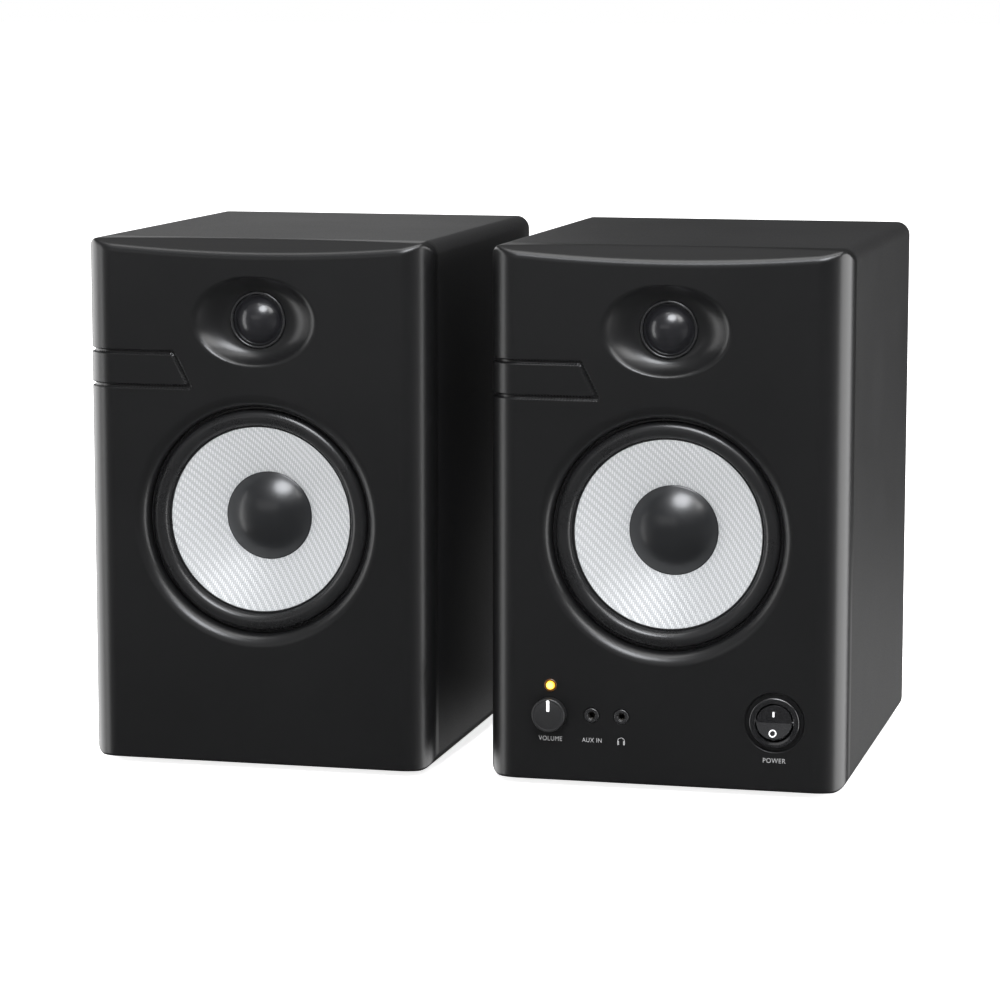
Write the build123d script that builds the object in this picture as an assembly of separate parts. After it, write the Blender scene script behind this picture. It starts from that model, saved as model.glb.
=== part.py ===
from build123d import *
import math
import os

# A pair of two-way desktop speakers. The right one holds the amplifier and the controls, the
# left one is driven from its rear terminals. Millimetres. X to the right, Y from front to back,
# Z up. The origin is at the bottom centre of the whole pair. Each piece is drawn in the frame
# of one speaker (x = 0 at its middle, y = 0 at its front face, z = 0 at its underside) and
# then put in its place.

# Cabinet and baffle
CABINET_WIDTH = 182.0
CABINET_HEIGHT = 269.0
CABINET_DEPTH = 220.0
SPEAKER_GAP = 30.0
SPEAKER_SPACING = CABINET_WIDTH + SPEAKER_GAP
BOARD = 12.0
EDGE_RADIUS = 7.0
BAFFLE_DEPTH = 20.0
BAFFLE_WALL = 3.5
BAFFLE_RIM = 6.0
BAFFLE_EDGE_RADIUS = 16.0
TONGUE_WALL = 3.0
TONGUE_LENGTH = 4.0
TONGUE_CLEARANCE = 0.2
BROW_DROP = 6.5
BROW_RUN = 17.0
BROW_RADIUS = 880.0
GROOVE_WIDTH = 2.6
GROOVE_DEPTH = 1.6
GROOVE_TOP = 211.4
GROOVE_BOTTOM = 193.9
GROOVE_TOP_END = -43.2
GROOVE_BOTTOM_END = -34.4
FOOT_HEIGHT = 3.0
FOOT_RADIUS = 8.0
FOOT_INSET_X = 20.0
FOOT_FRONT = 34.0
FOOT_REAR_INSET = 20.0

# Woofer, on an axis along Y
WOOFER_Z = 125.9
WOOFER_OPENING = 58.5
WOOFER_LIP = 7.0
WOOFER_SEAT = 9.5
WOOFER_BOSS = 68.0
FLANGE_RADIUS = 66.0
FLANGE_SCREW_RADIUS = 62.6
SHEET = 1.5
CONE_RADIUS = 48.3
CONE_RIM_DEPTH = 8.9
CAP_RADIUS = 22.7
CAP_SEAT_DEPTH = 24.4
CAP_HEIGHT = 9.0
CONE_NECK_DEPTH = 31.5
CONE_WALL = 0.8
COIL_RADIUS = 12.9
COIL_FORMER_WALL = 0.4
WINDING_WALL = 0.6
WINDING_LENGTH = 11.0
COIL_LENGTH = 28.0
GAP_CLEARANCE = 0.5
ROLL_CLEARANCE = 0.3
ROLL_RADIUS = 4.3
ROLL_WALL = 0.8
SPIDER_DEPTH = 40.0
SPIDER_LEDGE = 33.0
SPIDER_RADIUS = 43.0
SPIDER_WALL = 1.0
SPIDER_WAVES = 4
TOP_PLATE = 6.0
MAGNET_RADIUS = 40.0
MAGNET_BORE = 20.0
MAGNET_LENGTH = 15.0
YOKE_PLATE = 6.0
BASKET_BACK_DEPTH = 46.0
BASKET_WINDOWS = 6

# Tweeter, on an axis along Y
TWEETER_Z = 228.3
GUIDE_HALF_WIDTH = 33.5
GUIDE_HALF_HEIGHT = 23.5
GUIDE_DEPTH = 8.0
GUIDE_MIDDLE_SHARE = 0.55
GUIDE_MIDDLE_DEPTH = 4.8
GUIDE_THROAT = 14.8
TWEETER_SEAT = 10.0
TWEETER_BOSS = 30.0
TWEETER_FLANGE = 27.0
TWEETER_SCREW_RADIUS = 23.3
TWEETER_PLATE = 2.0
DOME_RADIUS = 12.2
DOME_HEIGHT = 6.5
DOME_SEAT = 9.0
DOME_WALL = 0.4
DOME_FORMER_LENGTH = 6.0
DOME_CLEARANCE = 0.9
MOTOR_RADIUS = 20.0
MOTOR_LENGTH = 14.0

# Reflex port at the back
PORT_Z = 215.0
PORT_RADIUS = 18.0
PORT_WALL = 2.0
PORT_LENGTH = 88.0
PORT_FLANGE = 28.0
PORT_FLANGE_THICKNESS = 2.0

# Controls on the front of the right speaker
CONTROL_Z = 34.3
KNOB_X = -57.7
KNOB_RADIUS = 8.5
KNOB_FRONT = 6.0
KNOB_FACE = 1.6
KNOB_CHAMFER = 0.6
KNOB_GAP = 1.0
SHAFT_RADIUS = 3.0
SHAFT_CLEARANCE = 0.05
SHAFT_END_GAP = 1.0
BUSH_WALL = 1.5
POT_HALF = 8.5
SOCKET_FLOOR = 2.0
LED_Z = 48.8
LED_RADIUS = 2.4
AUX_X = -36.6
PHONES_X = -21.3
JACK_BORE = 1.8
JACK_COLLAR = 3.7
JACK_COLLAR_OUT = 0.6
JACK_BODY = 12.0
SWITCH_X = 56.0
SWITCH_Z = 35.2
SWITCH_RECESS = 15.0
SWITCH_RECESS_DEPTH = 1.5
BEZEL_RADIUS = 12.6
BEZEL_HEIGHT = 2.9
SWITCH_BARREL = 11.2
ROCKER_RADIUS = 9.1
ROCKER_CLEARANCE = 0.3
ROCKER_SLOPE = 22.0
ROCKER_VALLEY = 2.0
ROCKER_BACK = 3.5
ROCKER_PIVOT_DEPTH = 1.0
PIVOT_PIN_RADIUS = 1.0
PIVOT_PIN_REACH = 1.0
PIVOT_END_GAP = 0.2
ROCKER_ROOM = 7.0
CONTACT_BLOCK = 10.0
BEZEL_CHAMFER = 0.8
BLADE_X = 4.0
BLADE_HALF_THICKNESS = 0.4
BLADE_HALF_WIDTH = 2.4
BLADE_LENGTH = 7.0
CONTROL_BOARD_DEPTH = 16.0
CIRCUIT_BOARD = 1.6

# Amplifier panel on the back of the right speaker
PANEL_WIDTH = 132.0
PANEL_LOW = 18.0
PANEL_HIGH = 172.0
PANEL_THICKNESS = 2.0
PANEL_OVERLAP = 8.0
AMP_BOARD_GAP = 23.0
SINK_WIDTH = 100.0
SINK_LOW = 122.0
SINK_HIGH = 162.0
SINK_BASE = 3.0
SINK_OUT = 14.0
SINK_FINS = 11
SINK_FIN_WALL = 1.8
RCA_X = (-44.0, -24.0)
RCA_Z = 104.0
RCA_BARREL = 4.15
RCA_BLOCK_HALF_WIDTH = 7.0
RCA_BLOCK_HALF_HEIGHT = 6.5
RCA_BORE = 1.7
RCA_BORE_DEPTH = 13.0
RCA_COLLAR = 6.0
RCA_COLLAR_OUT = 1.5
RCA_OUT = 9.0
TRS_X = (-44.0, -20.0)
TRS_Z = 78.0
TRS_BORE = 3.25
TRS_BLOCK_HALF = 8.0
TRS_COLLAR = 5.5
TRS_NUT = 7.9
TRS_NUT_OUT = 2.4
TRS_OUT = 5.0
BASS_X = -32.0
BASS_Z = 50.0
BASS_TRAVEL = 4.0
BASS_NIB = 3.6
BASS_CLEARANCE = 0.4
BASS_BODY_HALF = 5.0
BASS_SLOT_DEPTH = 4.0
BASS_NIB_OUT = 3.0
INLET_X = 30.0
INLET_Z = 44.0
OUTPUT_X = 30.0
OUTPUT_Z = 92.0
INPUT_X = 0.0
INPUT_Z = 70.0

# Spring terminals
TERMINAL_HALF_WIDTH = 23.0
TERMINAL_HALF_HEIGHT = 11.5
TERMINAL_FLANGE_MARGIN = 4.0
TERMINAL_FLANGE_THICKNESS = 2.0
TERMINAL_FACE_OUT = 7.0
TERMINAL_BODY_DEPTH = 16.0
LEVER_PITCH = 22.0
LEVER_WIDTH = 12.0
LEVER_SIDE_CLEARANCE = 0.3
LEVER_PIVOT_UP = 6.5
LEVER_OUT = 12.0
LEVER_HUB = 3.0
LEVER_TOP = 2.0
LEVER_UNDER = 3.5
LEVER_TIP_TOP = 0.5
LEVER_TIP_UNDER = 3.0
LEVER_PIN_REACH = 1.0
POCKET_FLOOR = 4.0
POCKET_BELOW = 2.5
POCKET_ABOVE = 1.0

# Fasteners and fits
SCREW_RADIUS = 1.35
SCREW_HEAD_RADIUS = 3.0
SCREW_HEAD_HEIGHT = 2.0
SCREW_TIP_GAP = 0.5
REAR_SCREW_LENGTH = BOARD - 2.5
HOLE_CLEARANCE = 0.15
PANEL_CLEARANCE = 0.3
CUT_PAST = 1.0
HAIR = 0.001

HALF_WIDTH = CABINET_WIDTH / 2
CAVITY_HALF_WIDTH = HALF_WIDTH - BOARD
BACK = CABINET_DEPTH
BACK_INNER = CABINET_DEPTH - BOARD
PANEL_OUTER = BACK + PANEL_THICKNESS
REAR_OUT = PANEL_THICKNESS + SINK_OUT
FRONT_Y = KNOB_FRONT - (CABINET_DEPTH + KNOB_FRONT + REAR_OUT) / 2
SIDE_X = {"right": SPEAKER_SPACING / 2, "left": -SPEAKER_SPACING / 2}


# Basic shapes

def block(x0, x1, y0, y1, z0, z1):
    return Pos((x0 + x1) / 2, (y0 + y1) / 2, (z0 + z1) / 2) * Box(x1 - x0, y1 - y0, z1 - z0)


def rod(x, z, y0, y1, radius):
    return Pos(x, (y0 + y1) / 2, z) * Rot(90, 0, 0) * Cylinder(radius, y1 - y0)


def tube(x, z, y0, y1, outer, inner):
    return rod(x, z, y0, y1, outer) - rod(x, z, y0 - CUT_PAST, y1 + CUT_PAST, inner)


def cross_pin(x0, x1, y, z, radius):
    return Pos((x0 + x1) / 2, y, z) * Rot(0, 90, 0) * Cylinder(radius, x1 - x0)


def turned(x, z, points):
    """Turn a closed outline of (radius, y) points about an axis along Y."""
    outline = make_face(Polyline(*[(radius, y) for radius, y in points], close=True))
    return Pos(x, 0, z) * revolve(outline, Axis.Y)


def prism_x(x0, x1, points):
    """Extrude a closed outline of (y, z) points along X."""
    outline = make_face(Polyline(*[(x0, y, z) for y, z in points], close=True))
    return extrude(outline, x1 - x0, dir=(1, 0, 0))


def cap_shell(x, z, base_radius, height, base_y, wall):
    """A thin spherical cap that bulges towards the front."""
    ball = (base_radius ** 2 + height ** 2) / (2 * height)
    centre_y = base_y - height + ball
    shell = Pos(x, centre_y, z) * (Sphere(ball) - Sphere(ball - wall))
    return shell & rod(x, z, base_y - height - CUT_PAST, base_y, base_radius + CUT_PAST)


def screws(places, y_head, y_tip, head_side):
    """Screws along Y: head_side is +1 where the head faces the back, -1 where it faces the front."""
    group = []
    for x, z in places:
        y0, y1 = sorted((y_head, y_head + head_side * SCREW_HEAD_HEIGHT))
        s0, s1 = sorted((y_head, y_tip))
        group.append(rod(x, z, y0, y1, SCREW_HEAD_RADIUS) + rod(x, z, s0, s1, SCREW_RADIUS))
    return group


def on_circle(radius, z, count, start):
    """Places around an axis at x = 0."""
    angles = [math.radians(start + 360 * i / count) for i in range(count)]
    return [(radius * math.cos(a), z + radius * math.sin(a)) for a in angles]


WOOFER_SCREWS = on_circle(FLANGE_SCREW_RADIUS, WOOFER_Z, 4, 45)
TWEETER_SCREWS = on_circle(TWEETER_SCREW_RADIUS, TWEETER_Z, 2, 90)
PANEL_EDGE_X = PANEL_WIDTH / 2 - PANEL_OVERLAP / 2
PANEL_EDGE_Z = (PANEL_LOW + PANEL_OVERLAP / 2, PANEL_HIGH - PANEL_OVERLAP / 2)
PANEL_SCREWS = [(x, z) for x in (-PANEL_EDGE_X, 0, PANEL_EDGE_X) for z in PANEL_EDGE_Z]
TERMINAL_SCREW_X = TERMINAL_HALF_WIDTH + TERMINAL_FLANGE_MARGIN


# Cabinet, baffle, port, feet and wadding

def rounded_prism(half_width, z0, z1, radius, y0, y1):
    """A box with its four long edges rounded, running from front to back."""
    section = Pos(0, 0, (z0 + z1) / 2) * Rot(90, 0, 0) * RectangleRounded(2 * half_width, z1 - z0, radius)
    return Pos(0, y0, 0) * extrude(section, y1 - y0, dir=(0, 1, 0))


def cavity(y0, y1):
    return block(-CAVITY_HALF_WIDTH, CAVITY_HALF_WIDTH, y0, y1, BOARD, CABINET_HEIGHT - BOARD)


def cabinet(back_opening):
    shell = rounded_prism(HALF_WIDTH, 0, CABINET_HEIGHT, EDGE_RADIUS, BAFFLE_DEPTH, BACK)
    shell -= cavity(BAFFLE_DEPTH - CUT_PAST, BACK_INNER)
    port_hole = PORT_RADIUS + PORT_WALL + HOLE_CLEARANCE
    shell -= rod(0, PORT_Z, BACK_INNER - CUT_PAST, BACK + CUT_PAST, port_hole)
    return shell - back_opening


def baffle_envelope(inset):
    """The outer form of the baffle, or the same form some way inside it."""
    half = HALF_WIDTH - inset
    low, high = inset, CABINET_HEIGHT - inset
    front_view = rounded_prism(half, low, high, EDGE_RADIUS - inset, inset, BAFFLE_DEPTH)
    radius = BAFFLE_EDGE_RADIUS - inset
    plan = Pos(0, inset + radius, 0) * Rectangle(2 * half, 2 * radius)
    plan = fillet(plan.vertices().group_by(Axis.Y)[0], radius)
    plan += Pos(0, (inset + radius + BAFFLE_DEPTH) / 2, 0) * Rectangle(
        2 * half, BAFFLE_DEPTH - inset - radius)
    return front_view & extrude(plan, CABINET_HEIGHT)


def brow_cut():
    """The shallow trough that lowers the middle of the top front edge."""
    slope = math.atan2(BROW_DROP, BROW_RUN)
    trough = Rot(90, 0, 0) * Cylinder(BROW_RADIUS, 6 * BAFFLE_DEPTH)
    trough = Pos(0, 0, BROW_RADIUS) * trough
    return Pos(0, 0, CABINET_HEIGHT - BROW_DROP) * Rot(math.degrees(slope), 0, 0) * trough


def badge_groove():
    """A groove that comes round the left edge and outlines a slanted tab."""
    corners = [(-HALF_WIDTH - CUT_PAST, GROOVE_TOP), (GROOVE_TOP_END, GROOVE_TOP),
               (GROOVE_BOTTOM_END, GROOVE_BOTTOM), (-HALF_WIDTH - CUT_PAST, GROOVE_BOTTOM)]
    strokes = []
    for (x0, z0), (x1, z1) in zip(corners, corners[1:]):
        angle = math.degrees(math.atan2(z1 - z0, x1 - x0))
        length = math.hypot(x1 - x0, z1 - z0) + GROOVE_WIDTH
        stroke = Box(length, BAFFLE_DEPTH, GROOVE_WIDTH)
        strokes.append(Pos((x0 + x1) / 2, BAFFLE_DEPTH / 2, (z0 + z1) / 2) * Rot(0, -angle, 0) * stroke)
    tool = strokes[0] + strokes[1] + strokes[2]
    return tool - baffle_envelope(GROOVE_DEPTH)


def wave_guide():
    """A shallow elliptical dish that narrows to the round throat of the tweeter."""
    mouth = GUIDE_HALF_WIDTH, GUIDE_HALF_HEIGHT
    middle = [GUIDE_THROAT + (half - GUIDE_THROAT) * GUIDE_MIDDLE_SHARE for half in mouth]
    stations = [(-CUT_PAST, mouth), (0, mouth), (GUIDE_MIDDLE_DEPTH, middle),
                (GUIDE_DEPTH, (GUIDE_THROAT, GUIDE_THROAT)),
                (TWEETER_SEAT + CUT_PAST, (GUIDE_THROAT, GUIDE_THROAT))]
    sections = []
    for y, (half_width, half_height) in stations:
        ellipse = Ellipse(half_width + HAIR, half_height)
        sections.append(Pos(0, y, TWEETER_Z) * Rot(90, 0, 0) * ellipse)
    return loft(sections, ruled=True)


def baffle():
    """A moulded front: a thin wall, a rim against the cabinet, a tongue inside it, two bosses."""
    tongue_x = CAVITY_HALF_WIDTH - TONGUE_CLEARANCE
    tongue_low = BOARD + TONGUE_CLEARANCE
    tongue_high = CABINET_HEIGHT - BOARD - TONGUE_CLEARANCE
    tongue_end = BAFFLE_DEPTH + TONGUE_LENGTH
    plate = baffle_envelope(0)
    plate += block(-tongue_x, tongue_x, BAFFLE_DEPTH, tongue_end, tongue_low, tongue_high)
    plate -= block(-tongue_x + TONGUE_WALL, tongue_x - TONGUE_WALL, BAFFLE_DEPTH - CUT_PAST,
                   tongue_end + CUT_PAST, tongue_low + TONGUE_WALL, tongue_high - TONGUE_WALL)
    hollow_x = HALF_WIDTH - BAFFLE_EDGE_RADIUS
    plate -= block(-hollow_x, hollow_x, BAFFLE_WALL, BAFFLE_DEPTH - CUT_PAST,
                   BAFFLE_RIM, CABINET_HEIGHT - BAFFLE_RIM - BROW_DROP)
    plate += rod(0, WOOFER_Z, CUT_PAST, WOOFER_SEAT, WOOFER_BOSS)
    plate += rod(0, TWEETER_Z, CUT_PAST, TWEETER_SEAT, TWEETER_BOSS)
    ring_room = TWEETER_SEAT + TWEETER_PLATE + SCREW_HEAD_HEIGHT
    plate -= rod(0, TWEETER_Z, TWEETER_SEAT, ring_room, TWEETER_FLANGE + PANEL_CLEARANCE)
    plate -= rod(0, WOOFER_Z, -CUT_PAST, WOOFER_SEAT + CUT_PAST, WOOFER_OPENING)
    plate -= woofer_lip()
    plate -= wave_guide()
    plate -= brow_cut()
    plate -= badge_groove()
    for x, z in WOOFER_SCREWS:
        plate -= rod(x, z, WOOFER_SEAT / 2, WOOFER_SEAT, SCREW_RADIUS + HOLE_CLEARANCE)
    for x, z in TWEETER_SCREWS:
        plate -= rod(x, z, TWEETER_SEAT / 2, TWEETER_SEAT, SCREW_RADIUS + HOLE_CLEARANCE)
    return plate


def woofer_lip():
    """What is taken off to round the front edge of the woofer opening."""
    ring = tube(0, WOOFER_Z, -CUT_PAST, WOOFER_LIP, WOOFER_OPENING + WOOFER_LIP, WOOFER_OPENING - CUT_PAST)
    roll = Rot(90, 0, 0) * Torus(WOOFER_OPENING + WOOFER_LIP, WOOFER_LIP)
    return ring - Pos(0, WOOFER_LIP, WOOFER_Z) * roll


def control_holes():
    holes = rod(KNOB_X, CONTROL_Z, -CUT_PAST, BAFFLE_WALL + CUT_PAST, pot_bush_radius() + HOLE_CLEARANCE)
    holes += rod(KNOB_X, LED_Z, -CUT_PAST, BAFFLE_WALL + CUT_PAST, LED_RADIUS + HOLE_CLEARANCE)
    for x in (AUX_X, PHONES_X):
        holes += rod(x, CONTROL_Z, -CUT_PAST, BAFFLE_WALL + CUT_PAST, JACK_COLLAR + HOLE_CLEARANCE)
    holes += rod(SWITCH_X, SWITCH_Z, -CUT_PAST, SWITCH_RECESS_DEPTH, SWITCH_RECESS)
    holes += rod(SWITCH_X, SWITCH_Z, -CUT_PAST, BAFFLE_WALL + CUT_PAST, SWITCH_BARREL + HOLE_CLEARANCE)
    return holes


def port_tube():
    front = BACK - PORT_LENGTH
    duct = tube(0, PORT_Z, front, BACK + PORT_FLANGE_THICKNESS, PORT_RADIUS + PORT_WALL, PORT_RADIUS)
    flange = tube(0, PORT_Z, BACK, BACK + PORT_FLANGE_THICKNESS, PORT_FLANGE, PORT_RADIUS)
    return duct + flange


def feet():
    x = HALF_WIDTH - FOOT_INSET_X
    pads = []
    for px in (-x, x):
        for py in (FOOT_FRONT, BACK - FOOT_REAR_INSET):
            pads.append(Pos(px, py, -FOOT_HEIGHT / 2) * Cylinder(FOOT_RADIUS, FOOT_HEIGHT))
    return pads


def wadding():
    """Soft lining that hangs over the inside of the top and both sides."""
    thickness = 9.0
    gap = 0.5
    y0, y1 = 64.0, 124.0
    outer_x = CAVITY_HALF_WIDTH - gap
    top = CABINET_HEIGHT - BOARD - gap
    low = CABINET_HEIGHT / 2
    inner = block(-outer_x + thickness, outer_x - thickness, y0 - CUT_PAST, y1 + CUT_PAST,
                  low - CUT_PAST, top - thickness)
    return block(-outer_x, outer_x, y0, y1, low, top) - inner


# Woofer

def woofer_basket():
    wall_in = CONE_RADIUS + 5.0
    ledge_out = SPIDER_RADIUS + 1.5
    neck = SPIDER_LEDGE - 2.0
    back = BASKET_BACK_DEPTH
    bore = MAGNET_BORE - 2.0
    frame = turned(0, WOOFER_Z, [
        (FLANGE_RADIUS, WOOFER_SEAT), (wall_in, WOOFER_SEAT), (ledge_out, SPIDER_DEPTH),
        (neck, SPIDER_DEPTH), (neck - 3, back), (bore, back), (bore, back + SHEET),
        (neck - 2, back + SHEET), (neck + 1, SPIDER_DEPTH + SHEET),
        (ledge_out + SHEET, SPIDER_DEPTH + SHEET), (wall_in + SHEET, WOOFER_SEAT + SHEET),
        (FLANGE_RADIUS, WOOFER_SEAT + SHEET)])
    window_low = WOOFER_SEAT + 3 * SHEET
    window_high = SPIDER_DEPTH - 3 * SHEET
    width = 0.62 * 2 * math.pi * ledge_out / BASKET_WINDOWS
    for i in range(BASKET_WINDOWS):
        window = block(-width / 2, width / 2, window_low, window_high, ledge_out - 8, FLANGE_RADIUS)
        frame -= Pos(0, 0, WOOFER_Z) * Rot(0, 360 * i / BASKET_WINDOWS, 0) * window
    for x, z in WOOFER_SCREWS:
        frame -= rod(x, z, 0, BASKET_BACK_DEPTH, SCREW_RADIUS + HOLE_CLEARANCE)
    return frame


TOP_PLATE_FRONT = BASKET_BACK_DEPTH + SHEET
MAGNET_FRONT = TOP_PLATE_FRONT + TOP_PLATE
YOKE_FRONT = MAGNET_FRONT + MAGNET_LENGTH


def woofer_magnet():
    return tube(0, WOOFER_Z, MAGNET_FRONT, YOKE_FRONT, MAGNET_RADIUS, MAGNET_BORE)


def woofer_pole_plates():
    gap_outer = COIL_RADIUS + WINDING_WALL + GAP_CLEARANCE
    pole = COIL_RADIUS - COIL_FORMER_WALL - GAP_CLEARANCE
    top = tube(0, WOOFER_Z, TOP_PLATE_FRONT, MAGNET_FRONT, MAGNET_RADIUS - 2, gap_outer)
    yoke = rod(0, WOOFER_Z, YOKE_FRONT, YOKE_FRONT + YOKE_PLATE, MAGNET_RADIUS - 1)
    yoke += rod(0, WOOFER_Z, TOP_PLATE_FRONT, YOKE_FRONT + YOKE_PLATE, pole)
    yoke -= rod(0, WOOFER_Z, 0, YOKE_FRONT + YOKE_PLATE + CUT_PAST, pole / 2.4)
    return [top, yoke]


def woofer_voice_coil():
    start = CONE_NECK_DEPTH - 2
    former = tube(0, WOOFER_Z, start, start + COIL_LENGTH, COIL_RADIUS, COIL_RADIUS - COIL_FORMER_WALL)
    middle = TOP_PLATE_FRONT + TOP_PLATE / 2
    winding = tube(0, WOOFER_Z, middle - WINDING_LENGTH / 2, middle + WINDING_LENGTH / 2,
                   COIL_RADIUS + WINDING_WALL, COIL_RADIUS - COIL_FORMER_WALL)
    return former + winding


def woofer_cone():
    front = [(CONE_RADIUS, CONE_RIM_DEPTH), (CAP_RADIUS, CAP_SEAT_DEPTH), (COIL_RADIUS, CONE_NECK_DEPTH)]
    back = [(radius, y + CONE_WALL) for radius, y in reversed(front)]
    return turned(0, WOOFER_Z, front + back)


def woofer_dust_cap():
    return cap_shell(0, WOOFER_Z, CAP_RADIUS, CAP_HEIGHT, CAP_SEAT_DEPTH, CONE_WALL)


def woofer_surround():
    """A half-roll of rubber between the cone and the rim of the basket."""
    inner = CONE_RADIUS + ROLL_CLEARANCE
    middle = inner + ROLL_RADIUS
    foot = WOOFER_SEAT
    roll = Rot(90, 0, 0) * (Torus(middle, ROLL_RADIUS) - Torus(middle, ROLL_RADIUS - ROLL_WALL))
    roll = Pos(0, foot - ROLL_WALL, WOOFER_Z) * roll
    roll &= rod(0, WOOFER_Z, 0, foot - ROLL_WALL, FLANGE_RADIUS)
    rim = tube(0, WOOFER_Z, foot - ROLL_WALL, foot, WOOFER_OPENING - ROLL_CLEARANCE,
               middle + ROLL_RADIUS - ROLL_WALL)
    return roll + rim


def woofer_spider():
    """A corrugated disc that centres the voice coil."""
    inner = COIL_RADIUS + ROLL_CLEARANCE
    step = (SPIDER_LEDGE - inner) / (2 * SPIDER_WAVES)
    crest = 1.0
    front = []
    for i in range(2 * SPIDER_WAVES + 1):
        front.append((inner + i * step, SPIDER_DEPTH - SPIDER_WALL - crest * (i % 2)))
    front.append((SPIDER_RADIUS, SPIDER_DEPTH - SPIDER_WALL))
    back = [(radius, y + SPIDER_WALL) for radius, y in reversed(front)]
    return turned(0, WOOFER_Z, front + back)


# Tweeter

def tweeter_ring():
    nose = GUIDE_THROAT - 2 * HOLE_CLEARANCE
    bore = DOME_RADIUS + DOME_CLEARANCE
    ring = tube(0, TWEETER_Z, TWEETER_SEAT, TWEETER_SEAT + TWEETER_PLATE, TWEETER_FLANGE, bore)
    ring += tube(0, TWEETER_Z, GUIDE_DEPTH, TWEETER_SEAT + TWEETER_PLATE, nose, bore)
    for x, z in TWEETER_SCREWS:
        ring -= rod(x, z, 0, BAFFLE_DEPTH, SCREW_RADIUS + HOLE_CLEARANCE)
    return ring


def tweeter_dome():
    dome = cap_shell(0, TWEETER_Z, DOME_RADIUS, DOME_HEIGHT, DOME_SEAT, DOME_WALL)
    former = tube(0, TWEETER_Z, DOME_SEAT, DOME_SEAT + DOME_FORMER_LENGTH, DOME_RADIUS - DOME_WALL,
                  DOME_RADIUS - 2 * DOME_WALL)
    return dome + former


def tweeter_motor():
    """A steel cup and front plate round a small magnet with its pole disc."""
    front = TWEETER_SEAT + TWEETER_PLATE
    back = front + MOTOR_LENGTH
    pole = DOME_RADIUS - 2 * DOME_WALL - GAP_CLEARANCE
    wall = 3.0
    cup = rod(0, TWEETER_Z, front, back, MOTOR_RADIUS)
    cup -= rod(0, TWEETER_Z, front + wall, back - wall, MOTOR_RADIUS - wall)
    cup -= rod(0, TWEETER_Z, front - CUT_PAST, front + wall + CUT_PAST,
               DOME_RADIUS - DOME_WALL + GAP_CLEARANCE)
    pole_disc = rod(0, TWEETER_Z, front, front + wall, pole)
    magnet = rod(0, TWEETER_Z, front + wall, back - wall, pole - 1)
    return [cup, pole_disc, magnet]


# Front controls of the right speaker

def pot_bush_radius():
    return SHAFT_RADIUS + BUSH_WALL


def volume_potentiometer():
    half = POT_HALF
    body = block(KNOB_X - half, KNOB_X + half, BAFFLE_WALL, CONTROL_BOARD_DEPTH,
                 CONTROL_Z - half, CONTROL_Z + half)
    body += rod(KNOB_X, CONTROL_Z, 0, BAFFLE_WALL + CUT_PAST, pot_bush_radius())
    return body - rod(KNOB_X, CONTROL_Z, -CUT_PAST, CONTROL_BOARD_DEPTH - SOCKET_FLOOR,
                      SHAFT_RADIUS + SHAFT_CLEARANCE)


def volume_shaft():
    back = CONTROL_BOARD_DEPTH - SOCKET_FLOOR - SHAFT_END_GAP
    return rod(KNOB_X, CONTROL_Z, -KNOB_FRONT + KNOB_FACE, back, SHAFT_RADIUS)


def volume_knob():
    knob = rod(KNOB_X, CONTROL_Z, -KNOB_FRONT, -KNOB_GAP, KNOB_RADIUS)
    knob = chamfer(knob.edges().group_by(Axis.Y)[0], KNOB_CHAMFER)
    return knob - rod(KNOB_X, CONTROL_Z, -KNOB_FRONT + KNOB_FACE, 0, SHAFT_RADIUS)


def power_led():
    lens = rod(KNOB_X, LED_Z, 0, CONTROL_BOARD_DEPTH, LED_RADIUS)
    return lens + Pos(KNOB_X, 0, LED_Z) * Sphere(LED_RADIUS)


def front_socket(x):
    """A small round socket: a collar through the baffle and a body on the control board."""
    half = JACK_BODY / 2
    body = block(x - half, x + half, BAFFLE_WALL, CONTROL_BOARD_DEPTH, CONTROL_Z - half, CONTROL_Z + half)
    body += rod(x, CONTROL_Z, -JACK_COLLAR_OUT, BAFFLE_WALL + CUT_PAST, JACK_COLLAR)
    return body - rod(x, CONTROL_Z, -CUT_PAST, CONTROL_BOARD_DEPTH - SOCKET_FLOOR, JACK_BORE)


def control_board():
    left, right, below, above = 12.0, 9.0, 11.0, 6.0
    return block(KNOB_X - left, PHONES_X + right, CONTROL_BOARD_DEPTH, CONTROL_BOARD_DEPTH + CIRCUIT_BOARD,
                 CONTROL_Z - below, LED_Z + above)


ROCKER_BORE = ROCKER_RADIUS + ROCKER_CLEARANCE


def power_switch():
    """The switch body: a bezel on the recess floor, a barrel through the baffle, two blades."""
    bezel_front = SWITCH_RECESS_DEPTH - BEZEL_HEIGHT
    floor = ROCKER_PIVOT_DEPTH + ROCKER_ROOM
    back = floor + CONTACT_BLOCK
    body = rod(SWITCH_X, SWITCH_Z, bezel_front, SWITCH_RECESS_DEPTH, BEZEL_RADIUS)
    body = chamfer(body.edges().group_by(Axis.Y)[0], BEZEL_CHAMFER)
    body += rod(SWITCH_X, SWITCH_Z, bezel_front + CUT_PAST, back, SWITCH_BARREL)
    body -= rod(SWITCH_X, SWITCH_Z, bezel_front - CUT_PAST, floor, ROCKER_BORE)
    pin_end = ROCKER_BORE + PIVOT_PIN_REACH + PIVOT_END_GAP
    body -= cross_pin(SWITCH_X - pin_end, SWITCH_X + pin_end, ROCKER_PIVOT_DEPTH, SWITCH_Z,
                      PIVOT_PIN_RADIUS + SHAFT_CLEARANCE)
    for x in (SWITCH_X - BLADE_X, SWITCH_X + BLADE_X):
        body += block(x - BLADE_HALF_THICKNESS, x + BLADE_HALF_THICKNESS, back - CUT_PAST,
                      back + BLADE_LENGTH, SWITCH_Z - BLADE_HALF_WIDTH, SWITCH_Z + BLADE_HALF_WIDTH)
    return body


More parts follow.
